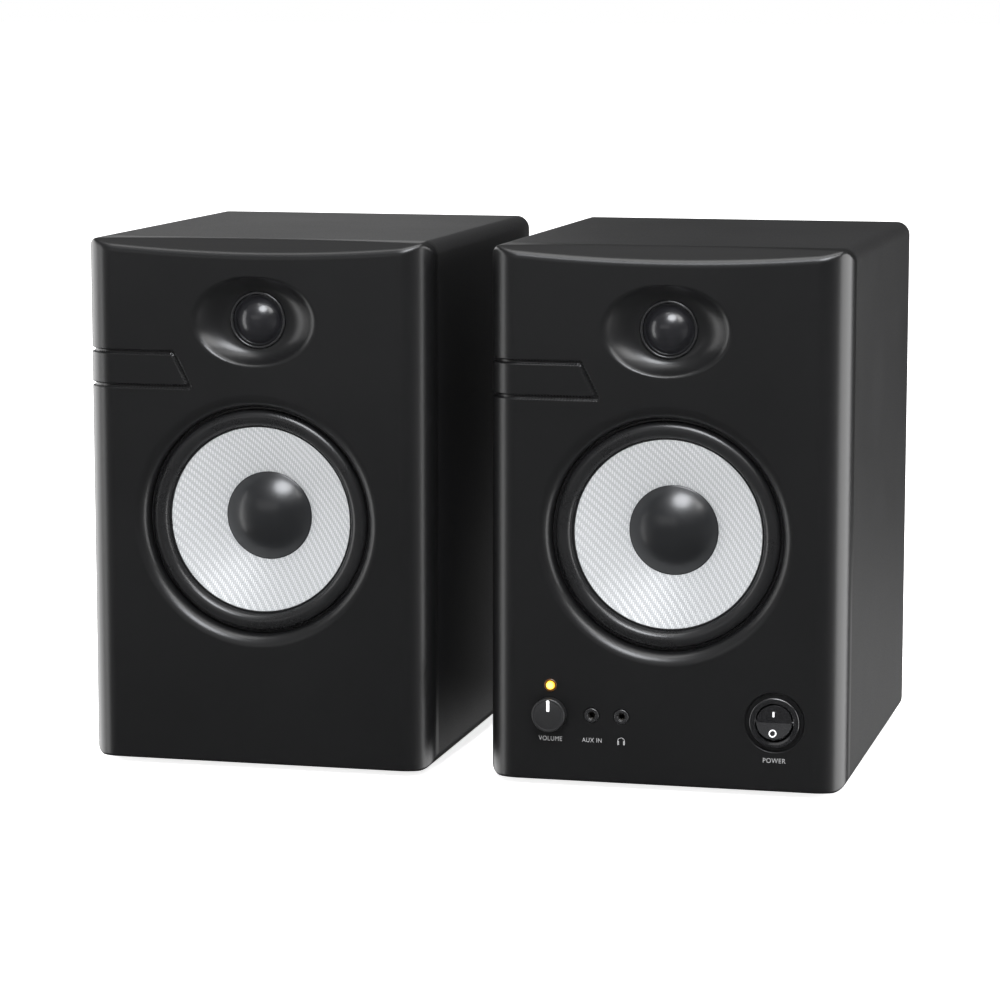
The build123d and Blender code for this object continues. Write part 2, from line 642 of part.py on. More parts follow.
def power_rocker():
    """A round rocker lying pressed in at its upper half, with its lower half standing out."""
    valley = ROCKER_PIVOT_DEPTH - ROCKER_VALLEY
    back = ROCKER_PIVOT_DEPTH + ROCKER_BACK
    reach = 2 * ROCKER_RADIUS
    rise = reach * math.tan(math.radians(ROCKER_SLOPE))
    key = prism_x(SWITCH_X - reach, SWITCH_X + reach, [
        (valley, SWITCH_Z), (valley, SWITCH_Z + reach), (back, SWITCH_Z + reach),
        (back, SWITCH_Z - reach), (valley - rise, SWITCH_Z - reach)])
    key &= Pos(SWITCH_X, ROCKER_PIVOT_DEPTH, SWITCH_Z) * Sphere(ROCKER_RADIUS)
    pin_end = ROCKER_BORE + PIVOT_PIN_REACH
    key += cross_pin(SWITCH_X - pin_end, SWITCH_X + pin_end, ROCKER_PIVOT_DEPTH, SWITCH_Z, PIVOT_PIN_RADIUS)
    return key


# Amplifier panel and what it carries

def terminal_opening(x, z):
    half_width = TERMINAL_HALF_WIDTH + PANEL_CLEARANCE
    half_height = TERMINAL_HALF_HEIGHT + PANEL_CLEARANCE
    return block(x - half_width, x + half_width, BACK_INNER - CUT_PAST, PANEL_OUTER + CUT_PAST,
                 z - half_height, z + half_height)


def panel_opening():
    half = PANEL_WIDTH / 2 - PANEL_OVERLAP
    return block(-half, half, BACK_INNER - CUT_PAST, BACK + CUT_PAST,
                 PANEL_LOW + PANEL_OVERLAP, PANEL_HIGH - PANEL_OVERLAP)


INLET_HALF_WIDTH = 24.0
INLET_HALF_HEIGHT = 14.0
INLET_BODY_INSET = 3.0
INLET_FLANGE = 3.0
INLET_RECESS_HALF_WIDTH = 12.2
INLET_RECESS_HALF_HEIGHT = 8.2
INLET_RECESS_DEPTH = 17.0
INLET_PINS = ((-7.0, -1.5), (0.0, 2.5), (7.0, -1.5))
INLET_PIN_HALF_WIDTH = 1.0
INLET_PIN_HALF_HEIGHT = 2.0
INLET_PIN_LENGTH = 11.0


def amplifier_panel():
    half = PANEL_WIDTH / 2
    panel = block(-half, half, BACK, PANEL_OUTER, PANEL_LOW, PANEL_HIGH)
    panel -= terminal_opening(OUTPUT_X, OUTPUT_Z)
    inlet_x = INLET_HALF_WIDTH - INLET_BODY_INSET + PANEL_CLEARANCE
    inlet_z = INLET_HALF_HEIGHT - INLET_BODY_INSET + PANEL_CLEARANCE
    panel -= block(INLET_X - inlet_x, INLET_X + inlet_x, BACK - CUT_PAST, PANEL_OUTER + CUT_PAST,
                   INLET_Z - inlet_z, INLET_Z + inlet_z)
    for x in RCA_X:
        panel -= rod(x, RCA_Z, BACK - CUT_PAST, PANEL_OUTER + CUT_PAST, RCA_BARREL + HOLE_CLEARANCE)
    for x in TRS_X:
        panel -= rod(x, TRS_Z, BACK - CUT_PAST, PANEL_OUTER + CUT_PAST, TRS_COLLAR + HOLE_CLEARANCE)
    slot_half = BASS_NIB / 2 + BASS_CLEARANCE
    panel -= block(BASS_X - slot_half, BASS_X + BASS_TRAVEL + slot_half, BACK - CUT_PAST,
                   PANEL_OUTER + CUT_PAST, BASS_Z - slot_half, BASS_Z + slot_half)
    for x, z in PANEL_SCREWS:
        panel -= rod(x, z, BACK - CUT_PAST, PANEL_OUTER + CUT_PAST, SCREW_RADIUS + HOLE_CLEARANCE)
    return panel


def heat_sink():
    half = SINK_WIDTH / 2
    sink = block(-half, half, PANEL_OUTER, PANEL_OUTER + SINK_BASE, SINK_LOW, SINK_HIGH)
    pitch = (SINK_WIDTH - SINK_FIN_WALL) / (SINK_FINS - 1)
    for i in range(SINK_FINS):
        x = -half + i * pitch
        sink += block(x, x + SINK_FIN_WALL, PANEL_OUTER, BACK + REAR_OUT, SINK_LOW, SINK_HIGH)
    return sink


AMP_BOARD_BACK = BACK - AMP_BOARD_GAP


def amplifier_board():
    margin = PANEL_OVERLAP + 4.0
    half = PANEL_WIDTH / 2 - margin
    over_sockets = 12.0
    return block(-half, half, AMP_BOARD_BACK - CIRCUIT_BOARD, AMP_BOARD_BACK,
                 PANEL_LOW + margin, RCA_Z + over_sockets)


def smoothing_capacitors():
    front = AMP_BOARD_BACK - CIRCUIT_BOARD
    radius, length, below_sockets = 9.0, 26.0, 6.0
    return [rod(x, RCA_Z - below_sockets, front - length, front, radius) for x in (-36.0, -12.0)]


def transformer():
    x, y, z = 18.0, 152.0, BOARD
    limb, tall, coil_reach, slack = 9.0, 45.0, 17.0, 0.5
    half = 3 * limb
    core = block(x - half, x + half, y - limb, y + limb, z, z + tall)
    for middle in (x - 1.5 * limb, x + 1.5 * limb):
        core -= block(middle - limb / 2, middle + limb / 2, y - limb - CUT_PAST, y + limb + CUT_PAST,
                      z + limb, z + tall - limb)
    coil_half = 2 * limb - slack
    coil = block(x - coil_half, x + coil_half, y - coil_reach, y + coil_reach,
                 z + limb + slack, z + tall - limb - slack)
    coil -= block(x - limb, x + limb, y - limb, y + limb, z, z + tall)
    return [core, coil]


def rca_sockets():
    sockets = []
    for x in RCA_X:
        body = block(x - RCA_BLOCK_HALF_WIDTH, x + RCA_BLOCK_HALF_WIDTH, AMP_BOARD_BACK, BACK,
                     RCA_Z - RCA_BLOCK_HALF_HEIGHT, RCA_Z + RCA_BLOCK_HALF_HEIGHT)
        body += rod(x, RCA_Z, BACK - CUT_PAST, PANEL_OUTER + RCA_OUT, RCA_BARREL)
        body += rod(x, RCA_Z, PANEL_OUTER, PANEL_OUTER + RCA_COLLAR_OUT, RCA_COLLAR)
        end = PANEL_OUTER + RCA_OUT
        body -= rod(x, RCA_Z, end - RCA_BORE_DEPTH, end + CUT_PAST, RCA_BORE)
        sockets.append(body)
    return sockets


def trs_sockets():
    sockets = []
    for x in TRS_X:
        body = block(x - TRS_BLOCK_HALF, x + TRS_BLOCK_HALF, AMP_BOARD_BACK, BACK,
                     TRS_Z - TRS_BLOCK_HALF, TRS_Z + TRS_BLOCK_HALF)
        body += rod(x, TRS_Z, BACK - CUT_PAST, PANEL_OUTER + TRS_OUT, TRS_COLLAR)
        nut = Pos(x, PANEL_OUTER, TRS_Z) * Rot(90, 0, 0) * RegularPolygon(TRS_NUT, 6)
        body += extrude(nut, TRS_NUT_OUT, dir=(0, 1, 0))
        body -= rod(x, TRS_Z, AMP_BOARD_BACK + 2, PANEL_OUTER + TRS_OUT + CUT_PAST, TRS_BORE)
        sockets.append(body)
    return sockets


def mains_inlet():
    """A three-pin appliance inlet: a flange outside the panel and a recess with its pins."""
    outer = PANEL_OUTER + INLET_FLANGE
    recess_floor = outer - INLET_RECESS_DEPTH
    flange = block(INLET_X - INLET_HALF_WIDTH, INLET_X + INLET_HALF_WIDTH, PANEL_OUTER, outer,
                   INLET_Z - INLET_HALF_HEIGHT, INLET_Z + INLET_HALF_HEIGHT)
    body_x = INLET_HALF_WIDTH - INLET_BODY_INSET
    body_z = INLET_HALF_HEIGHT - INLET_BODY_INSET
    body = flange + block(INLET_X - body_x, INLET_X + body_x, AMP_BOARD_BACK, PANEL_OUTER,
                          INLET_Z - body_z, INLET_Z + body_z)
    recess_x, recess_z = INLET_RECESS_HALF_WIDTH, INLET_RECESS_HALF_HEIGHT
    body -= block(INLET_X - recess_x, INLET_X + recess_x, recess_floor, outer + CUT_PAST,
                  INLET_Z - recess_z, INLET_Z + recess_z)
    pin_x, pin_z = INLET_PIN_HALF_WIDTH, INLET_PIN_HALF_HEIGHT
    for x, z in INLET_PINS:
        body += block(INLET_X + x - pin_x, INLET_X + x + pin_x, recess_floor - CUT_PAST,
                      recess_floor + INLET_PIN_LENGTH, INLET_Z + z - pin_z, INLET_Z + z + pin_z)
    return body


def bass_switch_body():
    slot_half = BASS_NIB / 2 + BASS_CLEARANCE
    half = BASS_BODY_HALF
    body = block(BASS_X - half, BASS_X + BASS_TRAVEL + half, AMP_BOARD_BACK, BACK, BASS_Z - half, BASS_Z + half)
    return body - block(BASS_X - slot_half, BASS_X + BASS_TRAVEL + slot_half, BACK - BASS_SLOT_DEPTH,
                        BACK + CUT_PAST, BASS_Z - slot_half, BASS_Z + slot_half)


def bass_switch_slider():
    half = BASS_NIB / 2
    inner = BACK - BASS_SLOT_DEPTH + BASS_CLEARANCE
    return block(BASS_X - half, BASS_X + half, inner, PANEL_OUTER + BASS_NIB_OUT, BASS_Z - half, BASS_Z + half)


# Spring terminals, which both speakers have

def terminal_body(x, z, seat):
    """A housing with two pockets. seat is the y of the face its flange rests on."""
    flange_x = TERMINAL_HALF_WIDTH + 2 * TERMINAL_FLANGE_MARGIN
    flange_z = TERMINAL_HALF_HEIGHT + TERMINAL_FLANGE_MARGIN
    face = seat + TERMINAL_FACE_OUT
    body = block(x - flange_x, x + flange_x, seat, seat + TERMINAL_FLANGE_THICKNESS, z - flange_z, z + flange_z)
    body += block(x - TERMINAL_HALF_WIDTH, x + TERMINAL_HALF_WIDTH, seat - TERMINAL_BODY_DEPTH, face,
                  z - TERMINAL_HALF_HEIGHT, z + TERMINAL_HALF_HEIGHT)
    half = LEVER_WIDTH / 2 + LEVER_SIDE_CLEARANCE
    for side in (-1, 1):
        middle = x + side * LEVER_PITCH / 2
        pin_end = half + LEVER_PIN_REACH + PIVOT_END_GAP
        body -= block(middle - half, middle + half, seat - TERMINAL_BODY_DEPTH + POCKET_FLOOR, face + CUT_PAST,
                      z - TERMINAL_HALF_HEIGHT + POCKET_BELOW, z + TERMINAL_HALF_HEIGHT - POCKET_ABOVE)
        body -= cross_pin(middle - pin_end, middle + pin_end, seat, z + LEVER_PIVOT_UP,
                          PIVOT_PIN_RADIUS + SHAFT_CLEARANCE)
        body -= rod(x + side * TERMINAL_SCREW_X, z, seat - CUT_PAST, seat + 2 * TERMINAL_FLANGE_THICKNESS,
                    SCREW_RADIUS + HOLE_CLEARANCE)
    return body


def terminal_lever(x, z, seat, side):
    """A press-down lever on two short pins."""
    middle = x + side * LEVER_PITCH / 2
    half = LEVER_WIDTH / 2
    up = z + LEVER_PIVOT_UP
    tip = seat + LEVER_OUT
    inner, outer = seat - LEVER_HUB, seat + LEVER_HUB
    lever = prism_x(middle - half, middle + half, [
        (inner, up - LEVER_TOP), (inner, up + LEVER_TOP), (outer, up + LEVER_TOP),
        (tip, up - LEVER_TIP_TOP), (tip, up - LEVER_TIP_UNDER), (outer, up - LEVER_UNDER)])
    end = half + LEVER_SIDE_CLEARANCE + LEVER_PIN_REACH
    return lever + cross_pin(middle - end, middle + end, seat, up, PIVOT_PIN_RADIUS)


def crossover():
    """The passive filter on the inside of the back board: a board, a capacitor, an inductor."""
    z, half_width, half_height = 128.0, 38.0, 26.0
    front = BACK_INNER - CIRCUIT_BOARD
    board = block(-half_width, half_width, front, BACK_INNER, z - half_height, z + half_height)
    capacitor_radius = 8.0
    capacitor = cross_pin(-30, 2, front - capacitor_radius, z + 14, capacitor_radius)
    coil_outer, coil_inner, coil_length = 14.0, 7.0, 12.0
    inductor = tube(18, z - 8, front - coil_length, front, coil_outer, coil_inner)
    return [board, capacitor, inductor]


# Assembly

def speaker(side):
    """The pieces that both speakers share."""
    names = {
        "port_tube": port_tube(),
        "feet": feet(),
        "wadding": wadding(),
        "woofer_basket": woofer_basket(),
        "woofer_magnet": woofer_magnet(),
        "woofer_pole_plates": woofer_pole_plates(),
        "woofer_voice_coil": woofer_voice_coil(),
        "woofer_spider": woofer_spider(),
        "woofer_cone": woofer_cone(),
        "woofer_dust_cap": woofer_dust_cap(),
        "woofer_surround": woofer_surround(),
        "tweeter_ring": tweeter_ring(),
        "tweeter_dome": tweeter_dome(),
        "tweeter_motor": tweeter_motor(),
    }
    return {side + "_" + name: shape for name, shape in names.items()}


def driver_screws():
    group = screws(WOOFER_SCREWS, WOOFER_SEAT + SHEET, WOOFER_SEAT / 2 + SCREW_TIP_GAP, 1)
    return group + screws(
        TWEETER_SCREWS, TWEETER_SEAT + TWEETER_PLATE, TWEETER_SEAT / 2 + SCREW_TIP_GAP, 1)


def pilot_holes(places, depth):
    return [rod(x, z, BACK - depth, BACK + CUT_PAST, SCREW_RADIUS) for x, z in places]


def right_speaker():
    pieces = speaker("right")
    pieces["right_baffle"] = baffle() - control_holes()
    box = cabinet(panel_opening())
    for hole in pilot_holes(PANEL_SCREWS, BOARD - 2):
        box -= hole
    pieces["right_cabinet"] = box
    panel_screws = screws(PANEL_SCREWS, PANEL_OUTER, BACK - REAR_SCREW_LENGTH, 1)
    pieces["right_screws"] = driver_screws() + panel_screws
    pieces["amplifier_panel"] = amplifier_panel()
    pieces["heat_sink"] = heat_sink()
    pieces["amplifier_board"] = amplifier_board()
    pieces["smoothing_capacitors"] = smoothing_capacitors()
    pieces["transformer"] = transformer()
    pieces["rca_sockets"] = rca_sockets()
    pieces["trs_sockets"] = trs_sockets()
    pieces["mains_inlet"] = mains_inlet()
    pieces["bass_switch_body"] = bass_switch_body()
    pieces["bass_switch_slider"] = bass_switch_slider()
    pieces["output_terminal"] = terminal_body(OUTPUT_X, OUTPUT_Z, PANEL_OUTER)
    pieces["output_lever_black"] = terminal_lever(OUTPUT_X, OUTPUT_Z, PANEL_OUTER, -1)
    pieces["output_lever_red"] = terminal_lever(OUTPUT_X, OUTPUT_Z, PANEL_OUTER, 1)
    pieces["control_board"] = control_board()
    pieces["volume_potentiometer"] = volume_potentiometer()
    pieces["volume_shaft"] = volume_shaft()
    pieces["volume_knob"] = volume_knob()
    pieces["power_led"] = power_led()
    pieces["aux_socket"] = front_socket(AUX_X)
    pieces["headphone_socket"] = front_socket(PHONES_X)
    pieces["power_switch"] = power_switch()
    pieces["power_rocker"] = power_rocker()
    return pieces


def left_speaker():
    pieces = speaker("left")
    pieces["left_baffle"] = baffle()
    terminal_screws = [(INPUT_X + s * TERMINAL_SCREW_X, INPUT_Z) for s in (-1, 1)]
    box = cabinet(terminal_opening(INPUT_X, INPUT_Z))
    for hole in pilot_holes(terminal_screws, BOARD - 2):
        box -= hole
    pieces["left_cabinet"] = box
    rear_screws = screws(terminal_screws, BACK + TERMINAL_FLANGE_THICKNESS, BACK - REAR_SCREW_LENGTH, 1)
    pieces["left_screws"] = driver_screws() + rear_screws
    pieces["crossover"] = crossover()
    pieces["input_terminal"] = terminal_body(INPUT_X, INPUT_Z, BACK)
    pieces["input_lever_black"] = terminal_lever(INPUT_X, INPUT_Z, BACK, -1)
    pieces["input_lever_red"] = terminal_lever(INPUT_X, INPUT_Z, BACK, 1)
    return pieces


def write(pieces, side):
    place = Pos(SIDE_X[side], FRONT_Y, FOOT_HEIGHT)
    for name, shape in pieces.items():
        solids = []
        for item in (shape if isinstance(shape, list) else [shape]):
            solids += (place * item).solids()
        whole = solids[0] if len(solids) == 1 else Compound(solids)
        export_step(whole, "parts/" + name + ".step")


os.makedirs("parts", exist_ok=True)
write(right_speaker(), "right")
write(left_speaker(), "left")
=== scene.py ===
import math

import bmesh
import bpy
import numpy as np
from mathutils import Matrix, Vector
from mathutils.geometry import delaunay_2d_cdt


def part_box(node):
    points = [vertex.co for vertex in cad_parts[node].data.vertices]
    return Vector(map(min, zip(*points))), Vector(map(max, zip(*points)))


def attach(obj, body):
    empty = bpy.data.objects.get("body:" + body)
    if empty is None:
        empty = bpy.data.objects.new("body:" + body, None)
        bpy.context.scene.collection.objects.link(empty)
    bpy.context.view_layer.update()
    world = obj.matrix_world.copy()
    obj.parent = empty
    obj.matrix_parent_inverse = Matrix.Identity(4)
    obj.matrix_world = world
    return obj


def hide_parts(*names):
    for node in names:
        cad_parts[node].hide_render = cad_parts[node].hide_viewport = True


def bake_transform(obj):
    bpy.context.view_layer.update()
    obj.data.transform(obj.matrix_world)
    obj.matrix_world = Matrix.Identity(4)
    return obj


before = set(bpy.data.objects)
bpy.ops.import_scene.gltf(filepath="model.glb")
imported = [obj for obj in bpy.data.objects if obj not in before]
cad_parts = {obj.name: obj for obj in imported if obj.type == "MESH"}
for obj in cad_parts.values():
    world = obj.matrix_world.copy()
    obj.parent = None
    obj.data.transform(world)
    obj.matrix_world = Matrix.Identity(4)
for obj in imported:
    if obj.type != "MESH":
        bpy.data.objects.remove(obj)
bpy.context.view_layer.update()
for plain in list(bpy.data.materials):
    plain.name = "plain_" + plain.name

# Sizes of one speaker in millimetres. Each speaker has x = 0 at its middle, y = 0 at its
# front face and z = 0 at the underside of its cabinet; the frame's boxes give the origins.
HALF, TALL, DEEP = 91.0, 269.0, 220.0
FRONT_DEPTH, FRONT_EDGE, CORNER = 20.0, 16.0, 7.0
FLAT = HALF - FRONT_EDGE
ARC = FRONT_EDGE * math.pi / 2
BROW_DROP, BROW_RUN, BROW_RADIUS, BROW_SOFT = 6.5, 17.0, 880.0, 1.15
WALL, HOLLOW_LOW, HOLLOW_HIGH = 3.5, 6.0, TALL - 12.5
WOOFER_Z, WOOFER_OPENING, WOOFER_LIP, WOOFER_SEAT, WOOFER_BOSS = 125.9, 58.5, 7.0, 9.5, 68.0
TWEETER_Z, TWEETER_SEAT, TWEETER_BOSS = 228.3, 10.0, 27.5
GUIDE_WIDE, GUIDE_HIGH, GUIDE_THROAT, GUIDE_DEPTH = 33.5, 23.5, 14.8, 8.0
GROOVE = [(-130.0, 211.4), (-43.2, 211.4), (-34.4, 193.9), (-130.0, 193.9)]
GROOVE_HALF, GROOVE_DEPTH = 1.3, 1.6
KNOB = (-57.7, 34.3)
LAMP = (-57.7, 48.8)
AUX = (-36.6, 34.3)
PHONES = (-21.3, 34.3)
SWITCH = (56.0, 35.2)
SIDES = ("right", "left")


def speaker_origin(side):
    low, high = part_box(side + "_baffle")
    return Vector(((low.x + high.x) / 2, low.y, low.z))


ORIGIN = {side: speaker_origin(side) for side in SIDES}


# Meshes

def in_scene(points, side):
    """Metres in the scene from a speaker's own millimetres."""
    return np.asarray(points, float) * 0.001 + np.array(ORIGIN[side])


def mesh_object(name, side, points, faces, sharp=32.0):
    """A piece from points in a speaker's own millimetres."""
    placed = in_scene(points, side)
    mesh = bpy.data.meshes.new(name)
    mesh.from_pydata([tuple(p) for p in placed], [], [tuple(int(i) for i in f) for f in faces])
    mesh.validate()
    return finished(name, mesh, sharp)


def placed_object(name, data):
    piece = bpy.data.objects.new(name, data)
    bpy.context.scene.collection.objects.link(piece)
    return piece


def finished(name, mesh, sharp=32.0):
    shade(mesh, sharp)
    return placed_object(name, mesh)


def shade(mesh, sharp):
    """Smooth shading, with edges over the angle kept sharp."""
    mesh.polygons.foreach_set("use_smooth", [True] * len(mesh.polygons))
    if sharp is not None:
        mesh.set_sharp_from_angle(angle=math.radians(sharp))


def evaluated(piece):
    """The mesh a piece has with its modifiers, which are then taken off."""
    mesh = bpy.data.meshes.new_from_object(piece.evaluated_get(bpy.context.evaluated_depsgraph_get()))
    piece.modifiers.clear()
    return mesh


def outward(piece):
    """Turn every face outwards on a closed mesh."""
    work = bmesh.new()
    work.from_mesh(piece.data)
    bmesh.ops.remove_doubles(work, verts=work.verts, dist=1e-7)
    bmesh.ops.recalc_face_normals(work, faces=work.faces)
    if work.calc_volume(signed=True) < 0:
        bmesh.ops.reverse_faces(work, faces=work.faces)
    work.to_mesh(piece.data)
    work.free()
    return piece


def arc(radius_at, y_at, radius, start, stop, steps):
    """Points of (radius, y) along an arc; 0 degrees points away from the axis, 90 to the back."""
    angles = [math.radians(start + (stop - start) * i / steps) for i in range(steps + 1)]
    return [(radius_at + radius * math.cos(a), y_at + radius * math.sin(a)) for a in angles]


def turned(name, side, centre, outline, steps=128, sharp=32.0):
    """Turn a closed outline of (radius, y) points about an axis along Y through (x, z)."""
    rings, points = [], []
    for radius, y in outline:
        count = 1 if radius < 1e-6 else steps
        rings.append((len(points), count))
        for i in range(count):
            a = 2 * math.pi * i / steps
            points.append((centre[0] + radius * math.cos(a), y, centre[1] + radius * math.sin(a)))
    faces = []
    for (s0, c0), (s1, c1) in zip(rings, rings[1:] + rings[:1]):
        for i in range(steps):
            a0, a1 = s0 + i % c0, s0 + (i + 1) % c0
            b0, b1 = s1 + i % c1, s1 + (i + 1) % c1
            face = [a0, a1, b1, b0]
            face = [v for k, v in enumerate(face) if v != face[k - 1]]
            if len(set(face)) > 2:
                faces.append(face)
    piece = outward(mesh_object(name, side, points, faces, None))
    if sharp is not None:
        piece.data.set_sharp_from_angle(angle=math.radians(sharp))
    return piece


def refined(node, bevel, name=None, segments=2, angle=38.0):
    """A copy of a hard CAD piece with its edges eased, as moulded or painted edges are."""
    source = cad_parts[node]
    mesh = source.data.copy()
    work = bmesh.new()
    work.from_mesh(mesh)
    bmesh.ops.remove_doubles(work, verts=work.verts, dist=2e-7)
    bmesh.ops.dissolve_limit(work, angle_limit=math.radians(0.5), verts=work.verts, edges=work.edges)
    work.to_mesh(mesh)
    work.free()
    piece = finished(name or node + "_skin", mesh, None)
    ease = piece.modifiers.new("ease", "BEVEL")
    ease.width = bevel * 0.001
    ease.segments = segments
    ease.limit_method = "ANGLE"
    ease.angle_limit = math.radians(angle)
    ease.use_clamp_overlap = True
    ease.harden_normals = False
    weigh = piece.modifiers.new("weigh", "WEIGHTED_NORMAL")
    weigh.keep_sharp = True
    piece.data = evaluated(piece)
    piece.data.materials.clear()
    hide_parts(node)
    return piece


def joined(name, pieces):
    """Several meshes as one piece."""
    work = bmesh.new()
    for piece in pieces:
        work.from_mesh(piece.data)
    mesh = bpy.data.meshes.new(name)
    work.to_mesh(mesh)
    work.free()
    for piece in pieces:
        bpy.data.objects.remove(piece)
    return placed_object(name, mesh)


# The moulded front: a sheet drawn over an unrolled plan (u along the front and round both
# vertical edges, v up the front and over the top and bottom edges), then bent into place.

SLOPE = BROW_DROP / BROW_RUN
LOW_BAND, HIGH_BAND = 12.0, 250.0
STRIP = FRONT_DEPTH


def soft_min(a, b, k):
    h = np.clip(0.5 + 0.5 * (b - a) / k, 0, 1)
    return b * (1 - h) + a * h - k * h * (1 - h)


def ease_in(low, high, value):
    t = np.clip((value - low) / (high - low), 0, 1)
    return t * t * (3 - 2 * t)


def plan_curve(u):
    """Where the unrolled u lies in plan, and how far the wall has turned there."""
    along = np.abs(u)
    turn = np.clip((along - FLAT) / FRONT_EDGE, 0, math.pi / 2)
    x = np.minimum(along, FLAT) + FRONT_EDGE * np.sin(turn)
    y = FRONT_EDGE * (1 - np.cos(turn)) + np.maximum(along - FLAT - ARC, 0)
    return np.sign(u) * x, y, turn


def corner_fall(x):
    past = np.clip(np.abs(x) - (HALF - CORNER), 0, CORNER)
    return CORNER - np.sqrt(CORNER ** 2 - past ** 2)


def top_height(x, y):
    slope = TALL - BROW_DROP + x ** 2 / (2 * BROW_RADIUS) + SLOPE * y
    brow = soft_min(slope, TALL, BROW_SOFT)
    return soft_min(brow, TALL - corner_fall(x), 0.02 + 0.8 * (1 - y / FRONT_DEPTH))


def guide_share(x, z):
    """0 at the mouth of the wave guide, 1 at its throat."""
    low = np.zeros_like(x)
    high = np.ones_like(x) * 1.35
    for _ in range(34):
        middle = (low + high) / 2
        wide = GUIDE_WIDE + (GUIDE_THROAT - GUIDE_WIDE) * middle
        tall = GUIDE_HIGH + (GUIDE_THROAT - GUIDE_HIGH) * middle
        outside = (x / wide) ** 2 + (z / tall) ** 2 > 1
        high = np.where(outside, middle, high)
        low = np.where(outside, low, middle)
    return (low + high) / 2


def guide_depth(share):
    soft = 0.20
    eased = np.where(share < soft, share ** 2 / (2 * soft), share - soft / 2)
    eased = np.clip(eased / (1 - soft / 2), 0, 1)
    return GUIDE_DEPTH * (1 - (1 - eased) ** 1.9)


def groove_distance(u, v):
    best = np.full(np.shape(u), 1e9)
    for (u0, v0), (u1, v1) in zip(GROOVE, GROOVE[1:]):
        du, dv = u1 - u0, v1 - v0
        t = np.clip(((u - u0) * du + (v - v0) * dv) / (du * du + dv * dv), 0, 1)
        best = np.minimum(best, np.hypot(u - u0 - t * du, v - v0 - t * dv))
    return best


HOLES = {
    "right": [(KNOB, 4.65), (LAMP, 2.55), (AUX, 3.85), (PHONES, 3.85), (SWITCH, 11.35)],
    "left": [],
}
HOLE_EASE = 0.35
RECESS, RECESS_DEPTH = 15.0, 1.5


def front_depth(u, v, side):
    """How far the features go in from the plain front."""
    r = np.hypot(u, v - WOOFER_Z)
    inside = np.clip(WOOFER_OPENING + WOOFER_LIP - r, 0, WOOFER_LIP)
    depth = WOOFER_LIP - np.sqrt(WOOFER_LIP ** 2 - inside ** 2)
    mouth = (u / GUIDE_WIDE) ** 2 + ((v - TWEETER_Z) / GUIDE_HIGH) ** 2 < 1
    if mouth.any():
        depth = np.where(mouth, guide_depth(guide_share(u, v - TWEETER_Z)), depth)
    depth = depth + GROOVE_DEPTH * (1 - ease_in(0.55, GROOVE_HALF, groove_distance(u, v)))
    for (x, z), radius in HOLES[side]:
        near = np.hypot(u - x, v - z)
        depth = depth + 0.3 * (1 - ease_in(radius, radius + HOLE_EASE, near))
        if (x, z) == SWITCH:
            depth = depth + RECESS_DEPTH * (1 - ease_in(RECESS - 0.7, RECESS + 0.3, near))
    return depth


def weld_key(p, digits):
    return tuple(round(c, digits) for c in p)


def rounded(a, corner, b, t):
    t = t[..., None]
    return (1 - t) ** 2 * a + 2 * t * (1 - t) * corner + t ** 2 * b


def stack(x, y, z):
    return np.stack(np.broadcast_arrays(x, y, z), -1)


def front_point(u, v, side):
    """The bent sheet: an array of points for arrays of u and v."""
    u, v = np.asarray(u, float), np.asarray(v, float)
    x, y, turn = plan_curve(u)
    top, low = top_height(x, y), corner_fall(x)
    z = np.where(v > HIGH_BAND, HIGH_BAND + (v - HIGH_BAND) * (top - HIGH_BAND) / (TALL - HIGH_BAND), v)
    z = np.where(v < LOW_BAND, low + v * (LOW_BAND - low) / LOW_BAND, z)
    z = np.clip(z, low, top)
    point = stack(x, y, z)
    for edge, reach, over in ((top, 3.2, v - TALL), (low, 2.2, -v)):
        strip_y = y + np.clip(over, 0, STRIP) * (1 - y / FRONT_DEPTH)
        height = (lambda yy: top_height(x, yy)) if reach > 3 else (lambda yy: low)
        length = np.maximum(reach * np.cos(turn), 1e-6)
        length_top = np.minimum(length, 0.9 * (FRONT_DEPTH - y))
        sign = -1 if reach > 3 else 1
        a = stack(x, y, edge + sign * length)
        corner = stack(x, y, edge)
        b = stack(x, y + length_top, height(y + length_top))
        on_strip = over > 0
        near_wall = np.abs(z - edge)
        t_wall = 0.5 * (1 - np.clip(near_wall / length, 0, 1))
        t_strip = 0.5 * (1 + np.clip((strip_y - y) / np.maximum(length_top, 1e-6), 0, 1))
        wall_bent = (~on_strip) & (near_wall < length)
        strip_bent = on_strip & (strip_y - y < length_top)
        point = np.where(on_strip[..., None], stack(x, strip_y, height(strip_y)), point)
        bent = rounded(a, corner, b, np.where(on_strip, t_strip, t_wall))
        point = np.where((wall_bent | strip_bent)[..., None], bent, point)
    depth = front_depth(u, v, side) * ((v > LOW_BAND) & (v < HIGH_BAND + 6))
    inward = stack(-np.sign(u) * np.sin(turn), np.cos(turn), np.zeros_like(turn))
    return point + inward * depth[..., None]


def front_normal(u, v, side):
    step = 0.02
    du = front_point(u + step, v, side) - front_point(u - step, v, side)
    dv = front_point(u, v + step, side) - front_point(u, v - step, side)
    n = np.cross(du, dv)
    size = np.linalg.norm(n, axis=-1, keepdims=True)
    return n / np.maximum(size, 1e-12)


def circle_points(x, z, radius, count, high=None):
    """Points round a circle, or round an oval where its half height is given."""
    high = radius if high is None else high
    angles = [2 * math.pi * i / count for i in range(count)]
    return [(x + radius * math.cos(a), z + high * math.sin(a)) for a in angles]


